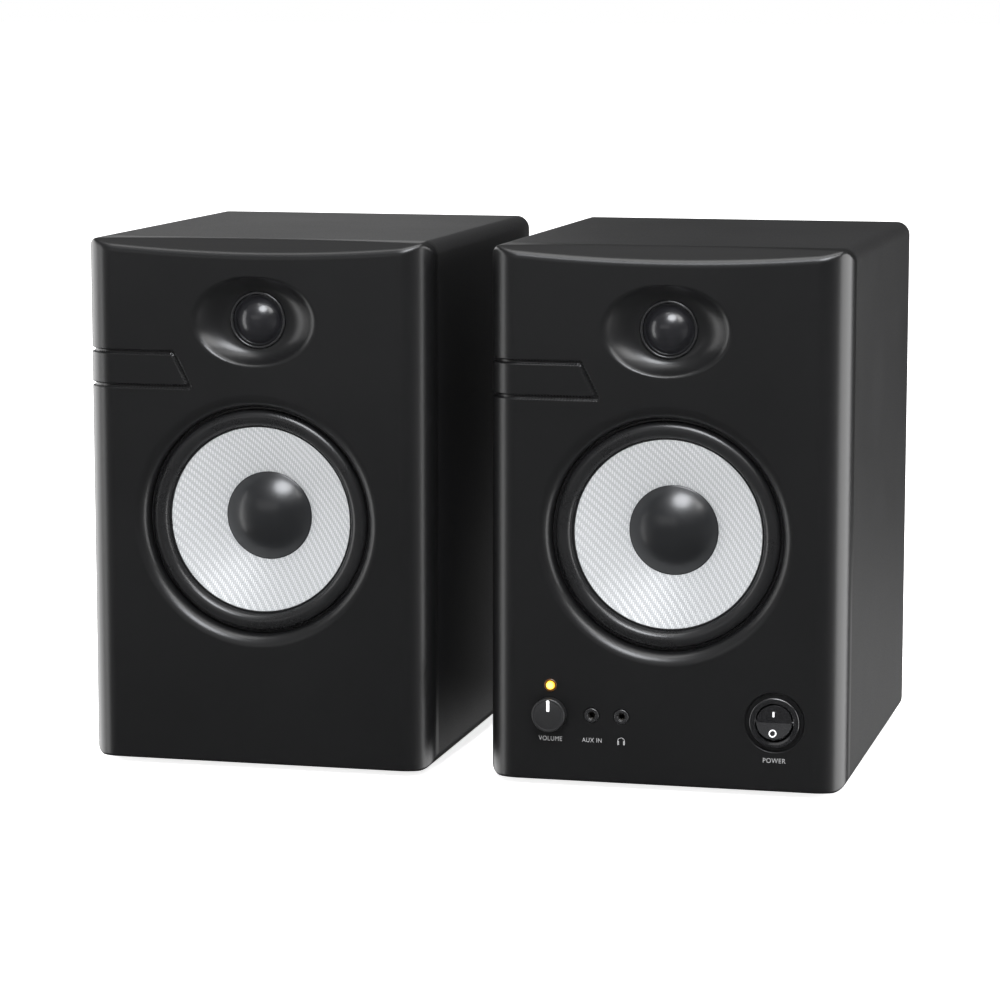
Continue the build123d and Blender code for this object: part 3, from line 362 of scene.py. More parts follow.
def sheet_plan(side):
    """Points of the unrolled sheet and the loops of its holes."""
    strip = sorted({0.35, 0.8, 1.3, 1.8, 2.4, 3.0, 3.8, 5, 6.5, 8, 9.5, 11, 12, 13, 14, 15, 16, 17, 18, 19, 20})
    side_steps = [FLAT + ARC + s / 5 for s in strip]
    columns = list(np.linspace(0, FLAT, 16)) + list(FLAT + ARC * np.linspace(0, 1, 19)[1:]) + side_steps
    columns = sorted(set([-c for c in columns] + columns))
    rows = list(-np.array([20, 14, 9, 5, 3, 2.2, 1.6, 1.1, 0.7, 0.35])) + [0, 0.4, 0.8, 1.3, 1.8, 2.4, 4, 8]
    rows += list(np.arange(12, 250, 5.0)) + [250, 254, 258, 261, 262.6, 263.5]
    rows += list(np.linspace(264, 269, 11)) + [269 + s for s in strip]
    grid = np.array([(u, v) for u in columns for v in rows
                     if abs(u) < FLAT + ARC + 1e-6 or 0 <= v <= TALL])
    u, v = grid.T
    lip_edge = WOOFER_OPENING + WOOFER_LIP
    free = np.hypot(u, v - WOOFER_Z) > lip_edge + 2.0
    free &= (u / (GUIDE_WIDE + 2.5)) ** 2 + ((v - TWEETER_Z) / (GUIDE_HIGH + 2.5)) ** 2 > 1
    free &= groove_distance(u, v) > 2.0
    for (x, z), r in HOLES[side]:
        free &= np.hypot(u - x, v - z) > (RECESS if (x, z) == SWITCH else r) + 1.6
    points = [tuple(p) for p in grid[free]]
    fixed = {}
    loops = []

    def ring(ring_points, hole=None):
        start = len(points)
        points.extend(ring_points)
        if hole:
            loops.append((hole, list(range(start, len(points)))))
        return start

    count = 192
    ring(circle_points(0, WOOFER_Z, lip_edge + 1.7, count))
    ring(circle_points(0, WOOFER_Z, lip_edge + 0.4, count))
    for k in range(11):
        a = math.radians(9 * k)
        radius = lip_edge - WOOFER_LIP * math.sin(a)
        start = ring(circle_points(0, WOOFER_Z, radius, count), "woofer" if k == 10 else None)
        for i in range(count):
            b = 2 * math.pi * i / count
            fixed[start + i] = (-math.sin(a) * math.cos(b), -math.cos(a), -math.sin(a) * math.sin(b))
    count = 120
    for share in (-0.09, -0.03, 0, 0.03, 0.06, 0.1, 0.15, 0.22, 0.3, 0.4, 0.5, 0.6, 0.7, 0.8, 0.88, 0.95, 1.0):
        wide = GUIDE_WIDE + (GUIDE_THROAT - GUIDE_WIDE) * share
        high = GUIDE_HIGH + (GUIDE_THROAT - GUIDE_HIGH) * share
        ring(circle_points(0, TWEETER_Z, wide, count, high), "tweeter" if share == 1.0 else None)
    for (x, z), radius in HOLES[side]:
        count = 96 if radius > 8 else 48
        if (x, z) == SWITCH:
            for r in (16.2, 15.5, 15.25, 15.05, 14.85, 14.65, 14.45, 14.2, 13.4):
                ring(circle_points(x, z, r, count))
        for extra in (0.7, HOLE_EASE, 0.26, 0.18, 0.1):
            ring(circle_points(x, z, radius + extra, count))
        ring(circle_points(x, z, radius, count), "hole")
    offsets = (0, 0.5, 0.72, 0.95, 1.15, 1.32, 1.75)
    offsets = [-o for o in offsets[:0:-1]] + list(offsets)
    end = FLAT + ARC + FRONT_DEPTH - FRONT_EDGE
    bends = [np.array(p) for p in GROOVE]
    bends[0][0] = bends[3][0] = -end
    sides = [(b - a) / np.linalg.norm(b - a) for a, b in zip(bends, bends[1:])]
    across = [np.array((-d[1], d[0])) for d in sides]
    shift = [across[0]] + [(m + n) / (1 + m @ n) for m, n in zip(across, across[1:])] + [across[2]]
    for o in offsets:
        line = [p + o * step for p, step in zip(bends, shift)]
        for a, b in zip(line, line[1:]):
            steps = max(2, int(np.linalg.norm(b - a) / 1.6))
            points.extend(tuple(a + (b - a) * i / steps) for i in range(steps + 1))
    return points, loops, fixed


def keep_order(points):
    """Drop repeated points, and say where each one went."""
    seen, kept, where = {}, [], []
    for p in points:
        key = weld_key(p, 4)
        if key not in seen:
            seen[key] = len(kept)
            kept.append(p)
        where.append(seen[key])
    return kept, where


class Shell:
    """Faces gathered with a normal for each corner, then welded into one closed mesh."""

    def __init__(self):
        self.points, self.faces, self.normals = [], [], []

    def add(self, points):
        start = len(self.points)
        self.points.extend([tuple(p) for p in points])
        return start

    def plane(self, places, y):
        """Points of a flat outline at depth y."""
        start = self.add([(x, y, z) for x, z in places])
        return list(range(start, start + len(places)))

    def face(self, corners, normals):
        self.faces.append(list(corners))
        self.normals.append([tuple(n) for n in normals])

    def mesh(self, name, side):
        merged, where, seen = [], [], {}
        for p in self.points:
            key = weld_key(p, 3)
            if key not in seen:
                seen[key] = len(merged)
                merged.append(p)
            where.append(seen[key])
        faces, normals, taken = [], [], set()
        for face, face_normals in zip(self.faces, self.normals):
            corners = [where[c] for c in face]
            if len(set(corners)) < len(corners) or tuple(sorted(corners)) in taken:
                continue
            taken.add(tuple(sorted(corners)))
            faces.append(corners)
            normals.extend(face_normals)
        placed = in_scene(merged, side)
        mesh = bpy.data.meshes.new(name)
        mesh.from_pydata([tuple(p) for p in placed], [], faces)
        mesh.polygons.foreach_set("use_smooth", [True] * len(mesh.polygons))
        mesh.normals_split_custom_set(normals)
        return placed_object(name, mesh)


def flat_fill(shell, loops, y, facing):
    """Fill a plane at depth y between closed loops of shell points; the first loop is the outside."""
    plan, edges, ids = [], [], []
    for loop in loops:
        places = list(range(len(plan), len(plan) + len(loop)))
        plan += [Vector((shell.points[c][0], shell.points[c][2])) for c in loop]
        ids += loop
        edges += zip(places, places[1:] + places[:1])
    verts, _, faces, origin, _, _ = delaunay_2d_cdt(plan, edges, [], 0, 1e-5)
    new = []
    for v, source in zip(verts, origin):
        new.append(ids[source[0]] if source else shell.add([(v.x, y, v.y)]))
    outlines = [np.array([(shell.points[c][0], shell.points[c][2]) for c in loop]) for loop in loops]
    flat = np.array([(v.x, v.y) for v in verts])
    middles = np.array([flat[list(f)].mean(axis=0) for f in faces])
    keep = within(outlines[0], middles)
    for outline in outlines[1:]:
        keep &= ~within(outline, middles)
    for f, kept in zip(faces, keep):
        if not kept:
            continue
        corners = [new[i] for i in f]
        p = [np.array(shell.points[c]) for c in corners]
        n = np.cross(p[1] - p[0], p[2] - p[0])
        if n[1] * facing < 0:
            corners.reverse()
        shell.face(corners, [(0, facing, 0)] * len(corners))


def within(outline, places):
    """Which of many places lie inside a closed outline."""
    x, z = outline[:, 0], outline[:, 1]
    x2, z2 = np.roll(x, -1), np.roll(z, -1)
    px, pz = places[:, :1], places[:, 1:]
    crosses = ((z > pz) != (z2 > pz)) & (px < (x2 - x) * (pz - z) / (z2 - z + 1e-30) + x)
    return crosses.sum(axis=1) % 2 == 1


def wall_between(shell, near, far, normals):
    """A band of quads between two loops of the same length."""
    n = len(near)
    for i in range(n):
        j = (i + 1) % n
        p = [np.array(shell.points[c]) for c in (near[i], near[j], far[j], far[i])]
        face = [near[i], near[j], far[j], far[i]]
        sense = np.cross(p[1] - p[0], p[2] - p[0])
        loop_normals = [normals[i], normals[j], normals[j], normals[i]]
        if np.dot(sense, np.array(normals[i]) + np.array(normals[j])) < 0:
            face.reverse()
            loop_normals.reverse()
        shell.face(face, loop_normals)


# For each kind of hole: the depth of its far edge, and the radius and height of its boss.
SEATS = {
    "woofer": (WOOFER_SEAT, WOOFER_BOSS, WOOFER_Z),
    "tweeter": (TWEETER_SEAT, TWEETER_BOSS, TWEETER_Z),
    "hole": (WALL, None, None),
}


def front_panel(side):
    """The whole moulding: front sheet, hole walls, bosses and the hollow behind."""
    points, loops, fixed = sheet_plan(side)
    plan, where = keep_order(points)
    fixed = {where[k]: n for k, n in fixed.items()}
    loops = [(kind, [where[i] for i in loop]) for kind, loop in loops]
    edges = [pair for _, loop in loops for pair in zip(loop, loop[1:] + loop[:1])]
    verts, _, faces, origin, _, _ = delaunay_2d_cdt([Vector(p) for p in plan], edges, [], 0, 1e-6)
    uv = np.array([(v.x, v.y) for v in verts])
    back = {}
    for new, sources in enumerate(origin):
        for s in sources:
            back[s] = new
    shell = Shell()
    xyz = front_point(uv[:, 0], uv[:, 1], side)
    normal = front_normal(uv[:, 0], uv[:, 1], side)
    for old, n in fixed.items():
        normal[back[old]] = n
    start = shell.add(xyz)
    middles = np.array([uv[list(f)].mean(axis=0) for f in faces])
    keep = (np.abs(middles[:, 0]) < FLAT + ARC) | ((middles[:, 1] > 0) & (middles[:, 1] < TALL))
    for _, loop in loops:
        keep &= ~within(np.array([plan[i] for i in loop]), middles)
    for f, kept in zip(faces, keep):
        if not kept:
            continue
        corners = list(f)
        a, b, c = (uv[i] for i in corners[:3])
        if (b[0] - a[0]) * (c[1] - a[1]) - (b[1] - a[1]) * (c[0] - a[0]) < 0:
            corners.reverse()
        p = [xyz[i] for i in corners]
        if np.linalg.norm(np.cross(p[1] - p[0], p[2] - p[0])) < 1e-9:
            continue
        shell.face([start + i for i in corners], [normal[i] for i in corners])
    # the rim where the moulding meets the cabinet, walked as one loop
    rim = rim_loop(shell)
    steps = 24
    corners = [(-FLAT, HOLLOW_LOW), (FLAT, HOLLOW_LOW), (FLAT, HOLLOW_HIGH), (-FLAT, HOLLOW_HIGH)]
    inner = []
    for a, b in zip(corners, corners[1:] + corners[:1]):
        for i in range(steps):
            t = i / steps
            inner.append((a[0] + (b[0] - a[0]) * t, a[1] + (b[1] - a[1]) * t))
    rim_inner = shell.plane(inner, FRONT_DEPTH)
    flat_fill(shell, [rim, rim_inner], FRONT_DEPTH, 1)
    floor_loop = shell.plane(inner, WALL)
    inward = [facing for facing in ((0, 0, 1), (-1, 0, 0), (0, 0, -1), (1, 0, 0)) for _ in range(steps)]
    wall_between(shell, rim_inner, floor_loop, inward)
    floor_loops = [floor_loop]
    for kind, loop in loops:
        near = [start + back[i] for i in loop]
        at = np.array([shell.points[c] for c in near])
        centre = at.mean(axis=0)
        radial = [tuple(-(np.array((p[0] - centre[0], 0, p[2] - centre[2])) /
                          np.hypot(p[0] - centre[0], p[2] - centre[2]))) for p in at]
        seat, boss, z0 = SEATS[kind]
        far = shell.plane([(p[0], p[2]) for p in at], seat)
        wall_between(shell, near, far, radial)
        if kind == "hole":
            floor_loops.append(far)
            continue
        outline = circle_points(0, z0, boss, 96)
        rim_boss = shell.plane(outline, seat)
        flat_fill(shell, [rim_boss, far], seat, 1)
        foot = shell.plane(outline, WALL)
        outward_normals = [(x / boss, 0, (z - z0) / boss) for x, z in outline]
        wall_between(shell, rim_boss, foot, outward_normals)
        floor_loops.append(foot)
    flat_fill(shell, floor_loops, WALL, 1)
    return shell.mesh(side + "_baffle_skin", side)


def rim_loop(shell):
    """The open edge of the sheet at the back of the moulding, in order."""
    key = {}
    for i, p in enumerate(shell.points):
        key.setdefault(weld_key(p, 3), i)
    one = [key[weld_key(p, 3)] for p in shell.points]
    count = {}
    for face in shell.faces:
        corners = [one[c] for c in face]
        for a, b in zip(corners, corners[1:] + corners[:1]):
            if a != b:
                pair = (min(a, b), max(a, b))
                count[pair] = count.get(pair, 0) + 1
    follow = {}
    for (a, b), n in count.items():
        at_back = all(abs(shell.points[c][1] - FRONT_DEPTH) < 0.01 for c in (a, b))
        if n == 1 and at_back:
            follow.setdefault(a, []).append(b)
            follow.setdefault(b, []).append(a)
    first = next(iter(follow))
    loop, last = [first], None
    while True:
        ahead = [c for c in follow[loop[-1]] if c != last]
        last = loop[-1]
        if ahead[0] == first:
            break
        loop.append(ahead[0])
    return loop


# Shader maths as expressions

class Sock:
    """A shader socket that takes part in sums; numbers alone stay numbers."""

    def __init__(self, tree, socket):
        self.tree, self.socket = tree, socket

    def total(self, kind, a, b):
        return self.tree.node("ShaderNodeMath", {"operation": kind}, {0: a, 1: b})

    def __add__(self, other):
        return self.total("ADD", self, other)

    def __radd__(self, other):
        return self.total("ADD", other, self)

    def __sub__(self, other):
        return self.total("SUBTRACT", self, other)

    def __rsub__(self, other):
        return self.total("SUBTRACT", other, self)

    def __mul__(self, other):
        return self.total("MULTIPLY", self, other)

    def __rmul__(self, other):
        return self.total("MULTIPLY", other, self)


class Graph:
    """A shader tree that nodes are added to."""

    def __init__(self, tree):
        self.nodes, self.links = tree.nodes, tree.links

    def node(self, kind, settings=None, inputs=None, output=0):
        made = self.nodes.new(kind)
        for key, value in (settings or {}).items():
            if key == "stops":
                for stop, (place, colour) in zip(ramp_stops(made, len(value)), value):
                    stop.position, stop.color = place, colour
            else:
                setattr(made, key, value)
        for key, value in (inputs or {}).items():
            self.put(made.inputs[key], value)
        return Sock(self, made.outputs[output])

    def put(self, target, value):
        if isinstance(value, Sock):
            self.links.new(value.socket, target)
        else:
            target.default_value = value

    def math(self, operation, *values):
        return self.node("ShaderNodeMath", {"operation": operation}, dict(enumerate(values)))

    def ease(self, value, low, high):
        """0 below low, 1 above high, and smooth between them."""
        return self.node("ShaderNodeMapRange", {"interpolation_type": "SMOOTHSTEP"}, {
            "Value": value, "From Min": low, "From Max": high, "To Min": 0.0, "To Max": 1.0})

    def split(self, vector):
        parts = self.node("ShaderNodeSeparateXYZ", inputs={0: vector})
        return tuple(Sock(self, parts.socket.node.outputs[i]) for i in range(3))


class Finish(Graph):
    """One procedural material."""

    def __init__(self, name):
        self.name = name
        self.material = bpy.data.materials.new(name)
        self.material.use_nodes = True
        super().__init__(self.material.node_tree)
        self.shader = self.nodes["Principled BSDF"]

    def set(self, **values):
        for key, value in values.items():
            self.put(self.shader.inputs[key.replace("_", " ")], value)

    def place(self):
        """The piece's own coordinates."""
        return self.node("ShaderNodeTexCoord", output="Object")

    def axes(self):
        return self.split(self.place())

    def noise(self, scale, detail=4.0, roughness=0.55, distort=0.0):
        return self.node("ShaderNodeTexNoise", inputs={
            "Vector": self.place(), "Scale": scale, "Detail": detail, "Roughness": roughness,
            "Distortion": distort})

    def cells(self, scale, feature="F1", output="Distance"):
        return self.node("ShaderNodeTexVoronoi", {"feature": feature}, {"Vector": self.place(), "Scale": scale},
                         output)

    def mix(self, share, a, b):
        return self.node("ShaderNodeMix", {"data_type": "RGBA"}, {0: share, 6: rgba(a), 7: rgba(b)}, 2)

    def bump(self, height, strength, distance, normal=None):
        values = {"Height": height, "Strength": strength, "Distance": distance}
        if normal is not None:
            values["Normal"] = normal
        self.set(Normal=self.node("ShaderNodeBump", inputs=values))


def ramp_stops(node, count):
    stops = node.color_ramp.elements
    while len(stops) < count:
        stops.new(1.0)
    return stops


def rgba(value):
    if isinstance(value, Sock):
        return value
    if isinstance(value, (int, float)):
        return (value, value, value, 1.0)
    return (*value, 1.0) if len(value) == 3 else value


def moulded(name, colour, roughness, grain=900.0, depth=0.00002, spread=0.06, coat=0.0, tint=0.25):
    """Moulded or painted stock: fine grain, a slow change of sheen, slightly uneven colour."""
    f = Finish(name)
    slow, fine = f.noise(35.0, 3.0), f.noise(grain, 2.0)
    dark = tuple(c * (1 - tint) for c in colour)
    bright = tuple(min(1.0, c * (1 + tint)) for c in colour)
    f.set(Base_Color=f.mix(slow, dark, bright))
    f.set(Roughness=slow * spread + fine * (spread / 2) + (roughness - 0.75 * spread))
    f.set(Coat_Weight=coat, Coat_Roughness=0.08)
    f.bump(fine, 0.35, depth)
    return f


def cabinet_vinyl():
    """Black vinyl wrap with a fine pebbled emboss."""
    f = Finish("cabinet_vinyl")
    pebble = f.cells(1500.0, "SMOOTH_F1")
    slow = f.noise(14.0, 5.0)
    fine = f.noise(700.0, 3.0)
    f.set(Base_Color=f.mix(slow, (0.0048, 0.0048, 0.0051), (0.0075, 0.0075, 0.0079)))
    f.set(Roughness=slow * 0.08 + pebble * 0.10 + 0.36)
    f.bump(pebble * 0.7 + fine * 0.5, 0.45, 0.00005)
    return f


def baffle_plastic():
    """Injection-moulded black with a silky spark texture."""
    f = Finish("baffle_plastic")
    spark, slow = f.noise(2600.0, 2.0, 0.6), f.noise(9.0, 3.0)
    f.set(Base_Color=f.mix(slow, (0.0040, 0.0040, 0.0042), (0.0058, 0.0058, 0.0061)))
    f.set(Roughness=slow * 0.05 + spark * 0.05 + 0.26)
    f.bump(spark, 0.30, 0.000022)
    return f


def cone_weave():
    """Pale twill of glass fibre: two thread families a thread and a bit over a millimetre wide."""
    f = Finish("cone_weave")
    x, _, z = f.axes()
    pitch, turn = 0.00104, math.radians(-4.0)
    wave = f.noise(26.0, 2.0) * 0.9
    c, s = math.cos(turn), math.sin(turn)
    warp = (x * (c / pitch) + z * (s / pitch)) + wave
    weft = (z * (c / pitch) - x * (s / pitch)) + wave
    step = f.math("FLOOR", warp) + f.math("FLOOR", weft)
    over = f.math("LESS_THAN", f.math("FLOORED_MODULO", step, 4.0), 1.5)
    warp_high = f.math("ABSOLUTE", f.math("SINE", warp * math.pi))
    weft_high = f.math("ABSOLUTE", f.math("SINE", weft * math.pi))
    height = over * warp_high + (1.0 - over) * weft_high
    # Painted shade: the base colour darkens towards each thread's edges and into the gaps between threads,
    # following the weave's height.
    thread_edge_shade = f.ease(height, 0.0, 0.75)
    tone = f.mix(over, (0.232, 0.238, 0.242), (0.335, 0.341, 0.345))
    patch = f.noise(60.0, 2.0)
    tone = f.mix(patch * 0.35, tone, (0.31, 0.318, 0.324))
    f.set(Base_Color=f.mix(thread_edge_shade, (0.19, 0.197, 0.20), tone))
    f.set(Roughness=0.46 - over * 0.12 + patch * 0.08, Coat_Weight=0.12, Coat_Roughness=0.3)
    f.bump(height, 0.55, 0.00012)
    return f


def surround_rubber():
    f = Finish("surround_rubber")
    fine, slow = f.noise(1700.0, 3.0), f.noise(50.0, 3.0)
    f.set(Base_Color=f.mix(slow, (0.006, 0.006, 0.0063), (0.0105, 0.0105, 0.011)))
    f.set(Roughness=slow * 0.08 + fine * 0.05 + 0.22)
    f.bump(fine, 0.35, 0.00003)
    return f


def cap_gloss():
    f = Finish("cap_gloss")
    slow, fine = f.noise(45.0, 3.0), f.noise(1300.0, 2.0)
    f.set(Base_Color=f.mix(slow, (0.0055, 0.0058, 0.0066), (0.009, 0.0095, 0.0105)))
    f.set(Roughness=slow * 0.06 + fine * 0.05 + 0.28, Coat_Weight=0.5, Coat_Roughness=0.22)
    f.bump(fine, 0.2, 0.000012)
    return f


def plain_weave(f, pitch):
    x, _, z = f.axes()
    return f.math("SINE", x * (math.pi / pitch)) * f.math("SINE", z * (math.pi / pitch))


def dome_silk():
    """Coated silk: a very fine plain weave under a satin varnish."""
    f = Finish("dome_silk")
    threads = plain_weave(f, 0.00034)
    slow = f.noise(80.0, 3.0)
    f.set(Base_Color=f.mix(slow, (0.006, 0.006, 0.007), (0.010, 0.010, 0.0115)))
    f.set(Roughness=slow * 0.08 + threads * 0.04 + 0.24, Coat_Weight=0.35, Coat_Roughness=0.14)
    f.bump(threads, 0.2, 0.00001)
    return f


def metal(name, colour, roughness, brush=None, metallic=1.0):
    """Bare or plated metal, brushed along one axis where brush names it."""
    f = Finish(name)
    stretch = {None: (1, 1, 1), "x": (0.02, 1, 1), "z": (1, 1, 0.02), "y": (1, 0.02, 1)}[brush]
    drawn = f.node("ShaderNodeMapping", inputs={"Vector": f.place(), "Scale": stretch})
    streak = f.node("ShaderNodeTexNoise", inputs={"Vector": drawn, "Scale": 1400.0, "Detail": 3.0})
    slow = f.noise(60.0, 4.0)
    f.set(Base_Color=f.mix(slow, tuple(c * 0.82 for c in colour), colour), Metallic=metallic)
    f.set(Roughness=streak * 0.16 + slow * 0.08 + (roughness - 0.12))
    f.bump(streak, 0.2, 0.00002)
    return f


def circuit_board():
    f = Finish("circuit_board")
    squares = {"Vector": f.place(), "Scale": 240.0}
    grid = f.node("ShaderNodeTexVoronoi", {"distance": "CHEBYCHEV"}, squares, "Distance")
    track = f.ease(grid, 0.42, 0.46)
    f.set(Base_Color=f.mix(track, (0.012, 0.07, 0.028), (0.03, 0.16, 0.06)))
    f.set(Roughness=track * 0.2 + 0.35)
    f.bump(track, 0.3, 0.00004)
    return f


def spider_cloth():
    f = Finish("spider_cloth")
    threads = plain_weave(f, 0.0007)
    # Painted shade: the colour darkens where the weave's height is low, in the hollows between threads.
    f.set(Base_Color=f.mix(threads * 0.5 + 0.5, (0.30, 0.20, 0.08), (0.55, 0.40, 0.18)))
    f.set(Roughness=0.85 - threads * 0.05)
    f.bump(threads, 0.6, 0.0001)
    return f


def lining():
    """Polyester batting."""
    f = Finish("lining")
    hair, tuft = f.noise(900.0, 6.0, 0.7, 1.2), f.noise(110.0, 4.0)
    f.set(Base_Color=f.mix(hair, (0.42, 0.42, 0.41), (0.72, 0.72, 0.70)), Roughness=hair * 0.1 + 0.85)
    f.bump(hair * 0.5 + tuft, 0.8, 0.0009)
    return f


def copper():
    """Enamelled wire, wound side by side along Y."""
    f = Finish("copper")
    _, y, _ = f.axes()
    turns = f.math("ABSOLUTE", f.math("SINE", y * (math.pi / 0.0003)))
    # Painted shade: the copper colour darkens into the creases between neighbouring turns, following the winding's
    # bump.
    f.set(Base_Color=f.mix(turns, (0.25, 0.07, 0.02), (0.72, 0.28, 0.09)))
    f.set(Metallic=0.9, Roughness=0.42 - turns * 0.14)
    f.bump(turns, 0.7, 0.0001)
    return f


def lamp_lens():
    """A lit amber lens, brightest at its middle."""
    f = Finish("led_lens")
    x, _, z = f.axes()
    at = ORIGIN["right"]
    away = f.math("SQRT", f.math("POWER", x - (at.x + LAMP[0] * 0.001), 2.0) +
                  f.math("POWER", z - (at.z + LAMP[1] * 0.001), 2.0))
    edge = f.ease(away, 0.0010, 0.0023)
    f.set(Base_Color=f.mix(edge, (1.0, 0.80, 0.12), (0.90, 0.42, 0.02)), Roughness=0.22 + edge * 0.1)
    f.set(Emission_Color=f.mix(edge, (1.0, 0.82, 0.14), (0.95, 0.40, 0.01)), Emission_Strength=0.95)
    return f


def printed(name, colour):
    f = Finish(name)
    speck = f.noise(4000.0, 2.0)
    f.set(Base_Color=f.mix(speck, tuple(c * 0.8 for c in colour), colour), Roughness=speck * 0.1 + 0.45)
    return f


FINISH = {f.name: f.material for f in (
    cabinet_vinyl(), baffle_plastic(), cone_weave(), surround_rubber(), cap_gloss(), dome_silk(),
    circuit_board(), spider_cloth(), lining(), copper(), lamp_lens(),
    moulded("foot_rubber", (0.016, 0.016, 0.016), 0.78, 1200.0, 0.00005),
    moulded("black_plastic", (0.014, 0.014, 0.0145), 0.38),
    moulded("capacitor_sleeve", (0.02, 0.03, 0.075), 0.3, 500.0, 0.00001, coat=0.3),
    moulded("lever_black", (0.015, 0.015, 0.015), 0.34),
    moulded("lever_red", (0.45, 0.012, 0.012), 0.32),
    moulded("knob_plastic", (0.012, 0.012, 0.0125), 0.34, 2200.0, 0.00002),
    moulded("switch_gloss", (0.008, 0.008, 0.0085), 0.2, 1500.0, 0.000006, 0.04, 1.0),
    moulded("panel_paint", (0.017, 0.017, 0.018), 0.48, 1300.0, 0.00006, 0.1),
    moulded("ferrite", (0.03, 0.03, 0.032), 0.62, 700.0, 0.00008, 0.12),
    moulded("ring_gloss", (0.012, 0.012, 0.0125), 0.24, 1500.0, 0.00001, 0.05, 0.4),
    # Dark amber: the lamp's glow painted onto the ring round the lens, which does not glow itself.
    moulded("lamp_ring", (0.055, 0.020, 0.002), 0.3, 1500.0, 0.00001, 0.05, 0.3),
    moulded("phono_white", (0.72, 0.70, 0.66), 0.4),
    moulded("phono_red", (0.5, 0.02, 0.02), 0.4),
    metal("basket_steel", (0.03, 0.03, 0.032), 0.5, metallic=0.3),
    metal("zinc_steel", (0.62, 0.60, 0.54), 0.34, "y"),
    metal("screw_steel", (0.05, 0.05, 0.052), 0.34, None, 0.9),
    metal("sink_aluminium", (0.045, 0.045, 0.048), 0.42, "z", 0.85),
    metal("core_steel", (0.34, 0.34, 0.36), 0.45, "y"),
    metal("nickel", (0.66, 0.63, 0.58), 0.24, None),
    metal("brass", (0.78, 0.58, 0.25), 0.26, None),
    printed("print_grey", (0.21, 0.21, 0.21)),
    printed("print_white", (0.86, 0.86, 0.86)),
    printed("print_switch", (0.78, 0.78, 0.78)),
)}


def dress(piece, finish, body, slot=None, *nodes):
    """Give a piece its finish, the body it moves with and the CAD pieces it stands for."""
    piece.data.materials.clear()
    piece.data.materials.append(FINISH[finish])
    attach(piece, body)
    if nodes:
        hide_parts(*nodes)
    return piece


# Drivers

def dome_outline(radius, rise, seat, steps, skirt, inner_from, shrink, wall):
    """A thin dome as (radius, y): its outer face, its skirt, and its inner face back to the axis."""
    ball = (radius ** 2 + rise ** 2) / (2 * rise)
    centre_y = seat - rise + ball
    edge = math.degrees(math.asin(radius / ball))
    angles = [math.radians(edge * i / steps) for i in range(steps + 1)]
    outer = [(ball * math.sin(a), centre_y - ball * math.cos(a)) for a in angles]
    inner = [(r * shrink, y + wall) for r, y in outer[inner_from:0:-1]]
    return outer + skirt + inner + [(0.0, outer[0][1] + wall)]


def blended(piece, side, centre, inner, outer, finish):
    """Finish a ring and bake its placement into its mesh; a weight easing from its inner to its outer edge is
    worked out but not used, so no part of the ring moves with the diaphragm.
    """
    piece.data.materials.append(FINISH[finish])
    middle = ORIGIN[side] + Vector((centre[0], 0, centre[1])) * 0.001
    side + "_speaker"
    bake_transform(piece)
    co = np.array([v.co for v in piece.data.vertices], float)
    radius = np.hypot(co[:, 0] - middle.x, co[:, 2] - middle.z) * 1000
    weight = 1 - ease_in(inner, outer, radius)


CONE_RIM, CONE_THROAT, CONE_FRONT, CONE_DEPTH, CONE_BULGE, CONE_WALL = 48.3, 12.9, 8.9, 15.5, 0.7, 0.8
CAP_RADIUS, CAP_RISE, CAP_SEAT, CAP_WALL = 22.7, 9.0, 24.4, 0.8
ROLL_MIDDLE, ROLL_RADIUS, ROLL_BASE, ROLL_WALL = 52.9, 4.3, 8.7, 0.8
DOME_RADIUS, DOME_RISE, DOME_SEAT, DOME_WALL = 11.9, 6.5, 9.0, 0.4


def woofer(side):
    at, moving = (0.0, WOOFER_Z), side + "_woofer_diaphragm"
    front, back = [], []
    for i in range(25):
        t = i / 24
        r = CONE_RIM + (CONE_THROAT - CONE_RIM) * t
        inwards = (CONE_RIM - r) / (CONE_RIM - CAP_RADIUS)
        straight = CONE_FRONT + CONE_DEPTH * (CONE_RIM - r) / (CONE_RIM - CAP_RADIUS)
        y = straight + CONE_BULGE * math.sin(math.pi * min(1.0, inwards))
        front.append((r, y))
        back.append((r, y + CONE_WALL))
    cone = turned(side + "_cone_skin", side, at, front + back[::-1], 160, 60)
    dress(cone, "cone_weave", moving, None, side + "_woofer_cone")
    bead = [(CAP_RADIUS + out, y) for out, y in ((0.25, 24.35), (0.75, 24.05), (0.9, 24.4), (0.4, 24.9))]
    outline = dome_outline(CAP_RADIUS, CAP_RISE, CAP_SEAT, 28, bead, 27, 0.97, CAP_WALL)
    dome = turned(side + "_dust_cap_skin", side, at, outline, 128, 60)
    dress(dome, "cap_gloss", moving, None, side + "_woofer_dust_cap")
    ring = [(47.5, 9.05), (47.55, 8.72), (48.1, 8.55)] + arc(ROLL_MIDDLE, ROLL_BASE, ROLL_RADIUS, 180, 360, 26)
    ring += [(57.9, ROLL_BASE), (58.2, 8.95), (58.2, 9.4), (57.6, 9.45)]
    ring += arc(ROLL_MIDDLE, ROLL_BASE, ROLL_RADIUS - ROLL_WALL, 360, 180, 26) + [(48.9, 9.2), (48.2, 9.35)]
    surround = turned(side + "_surround_skin", side, at, ring, 160, 50)
    blended(surround, side, at, 48.7, 57.1, "surround_rubber")
    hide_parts(side + "_woofer_surround")


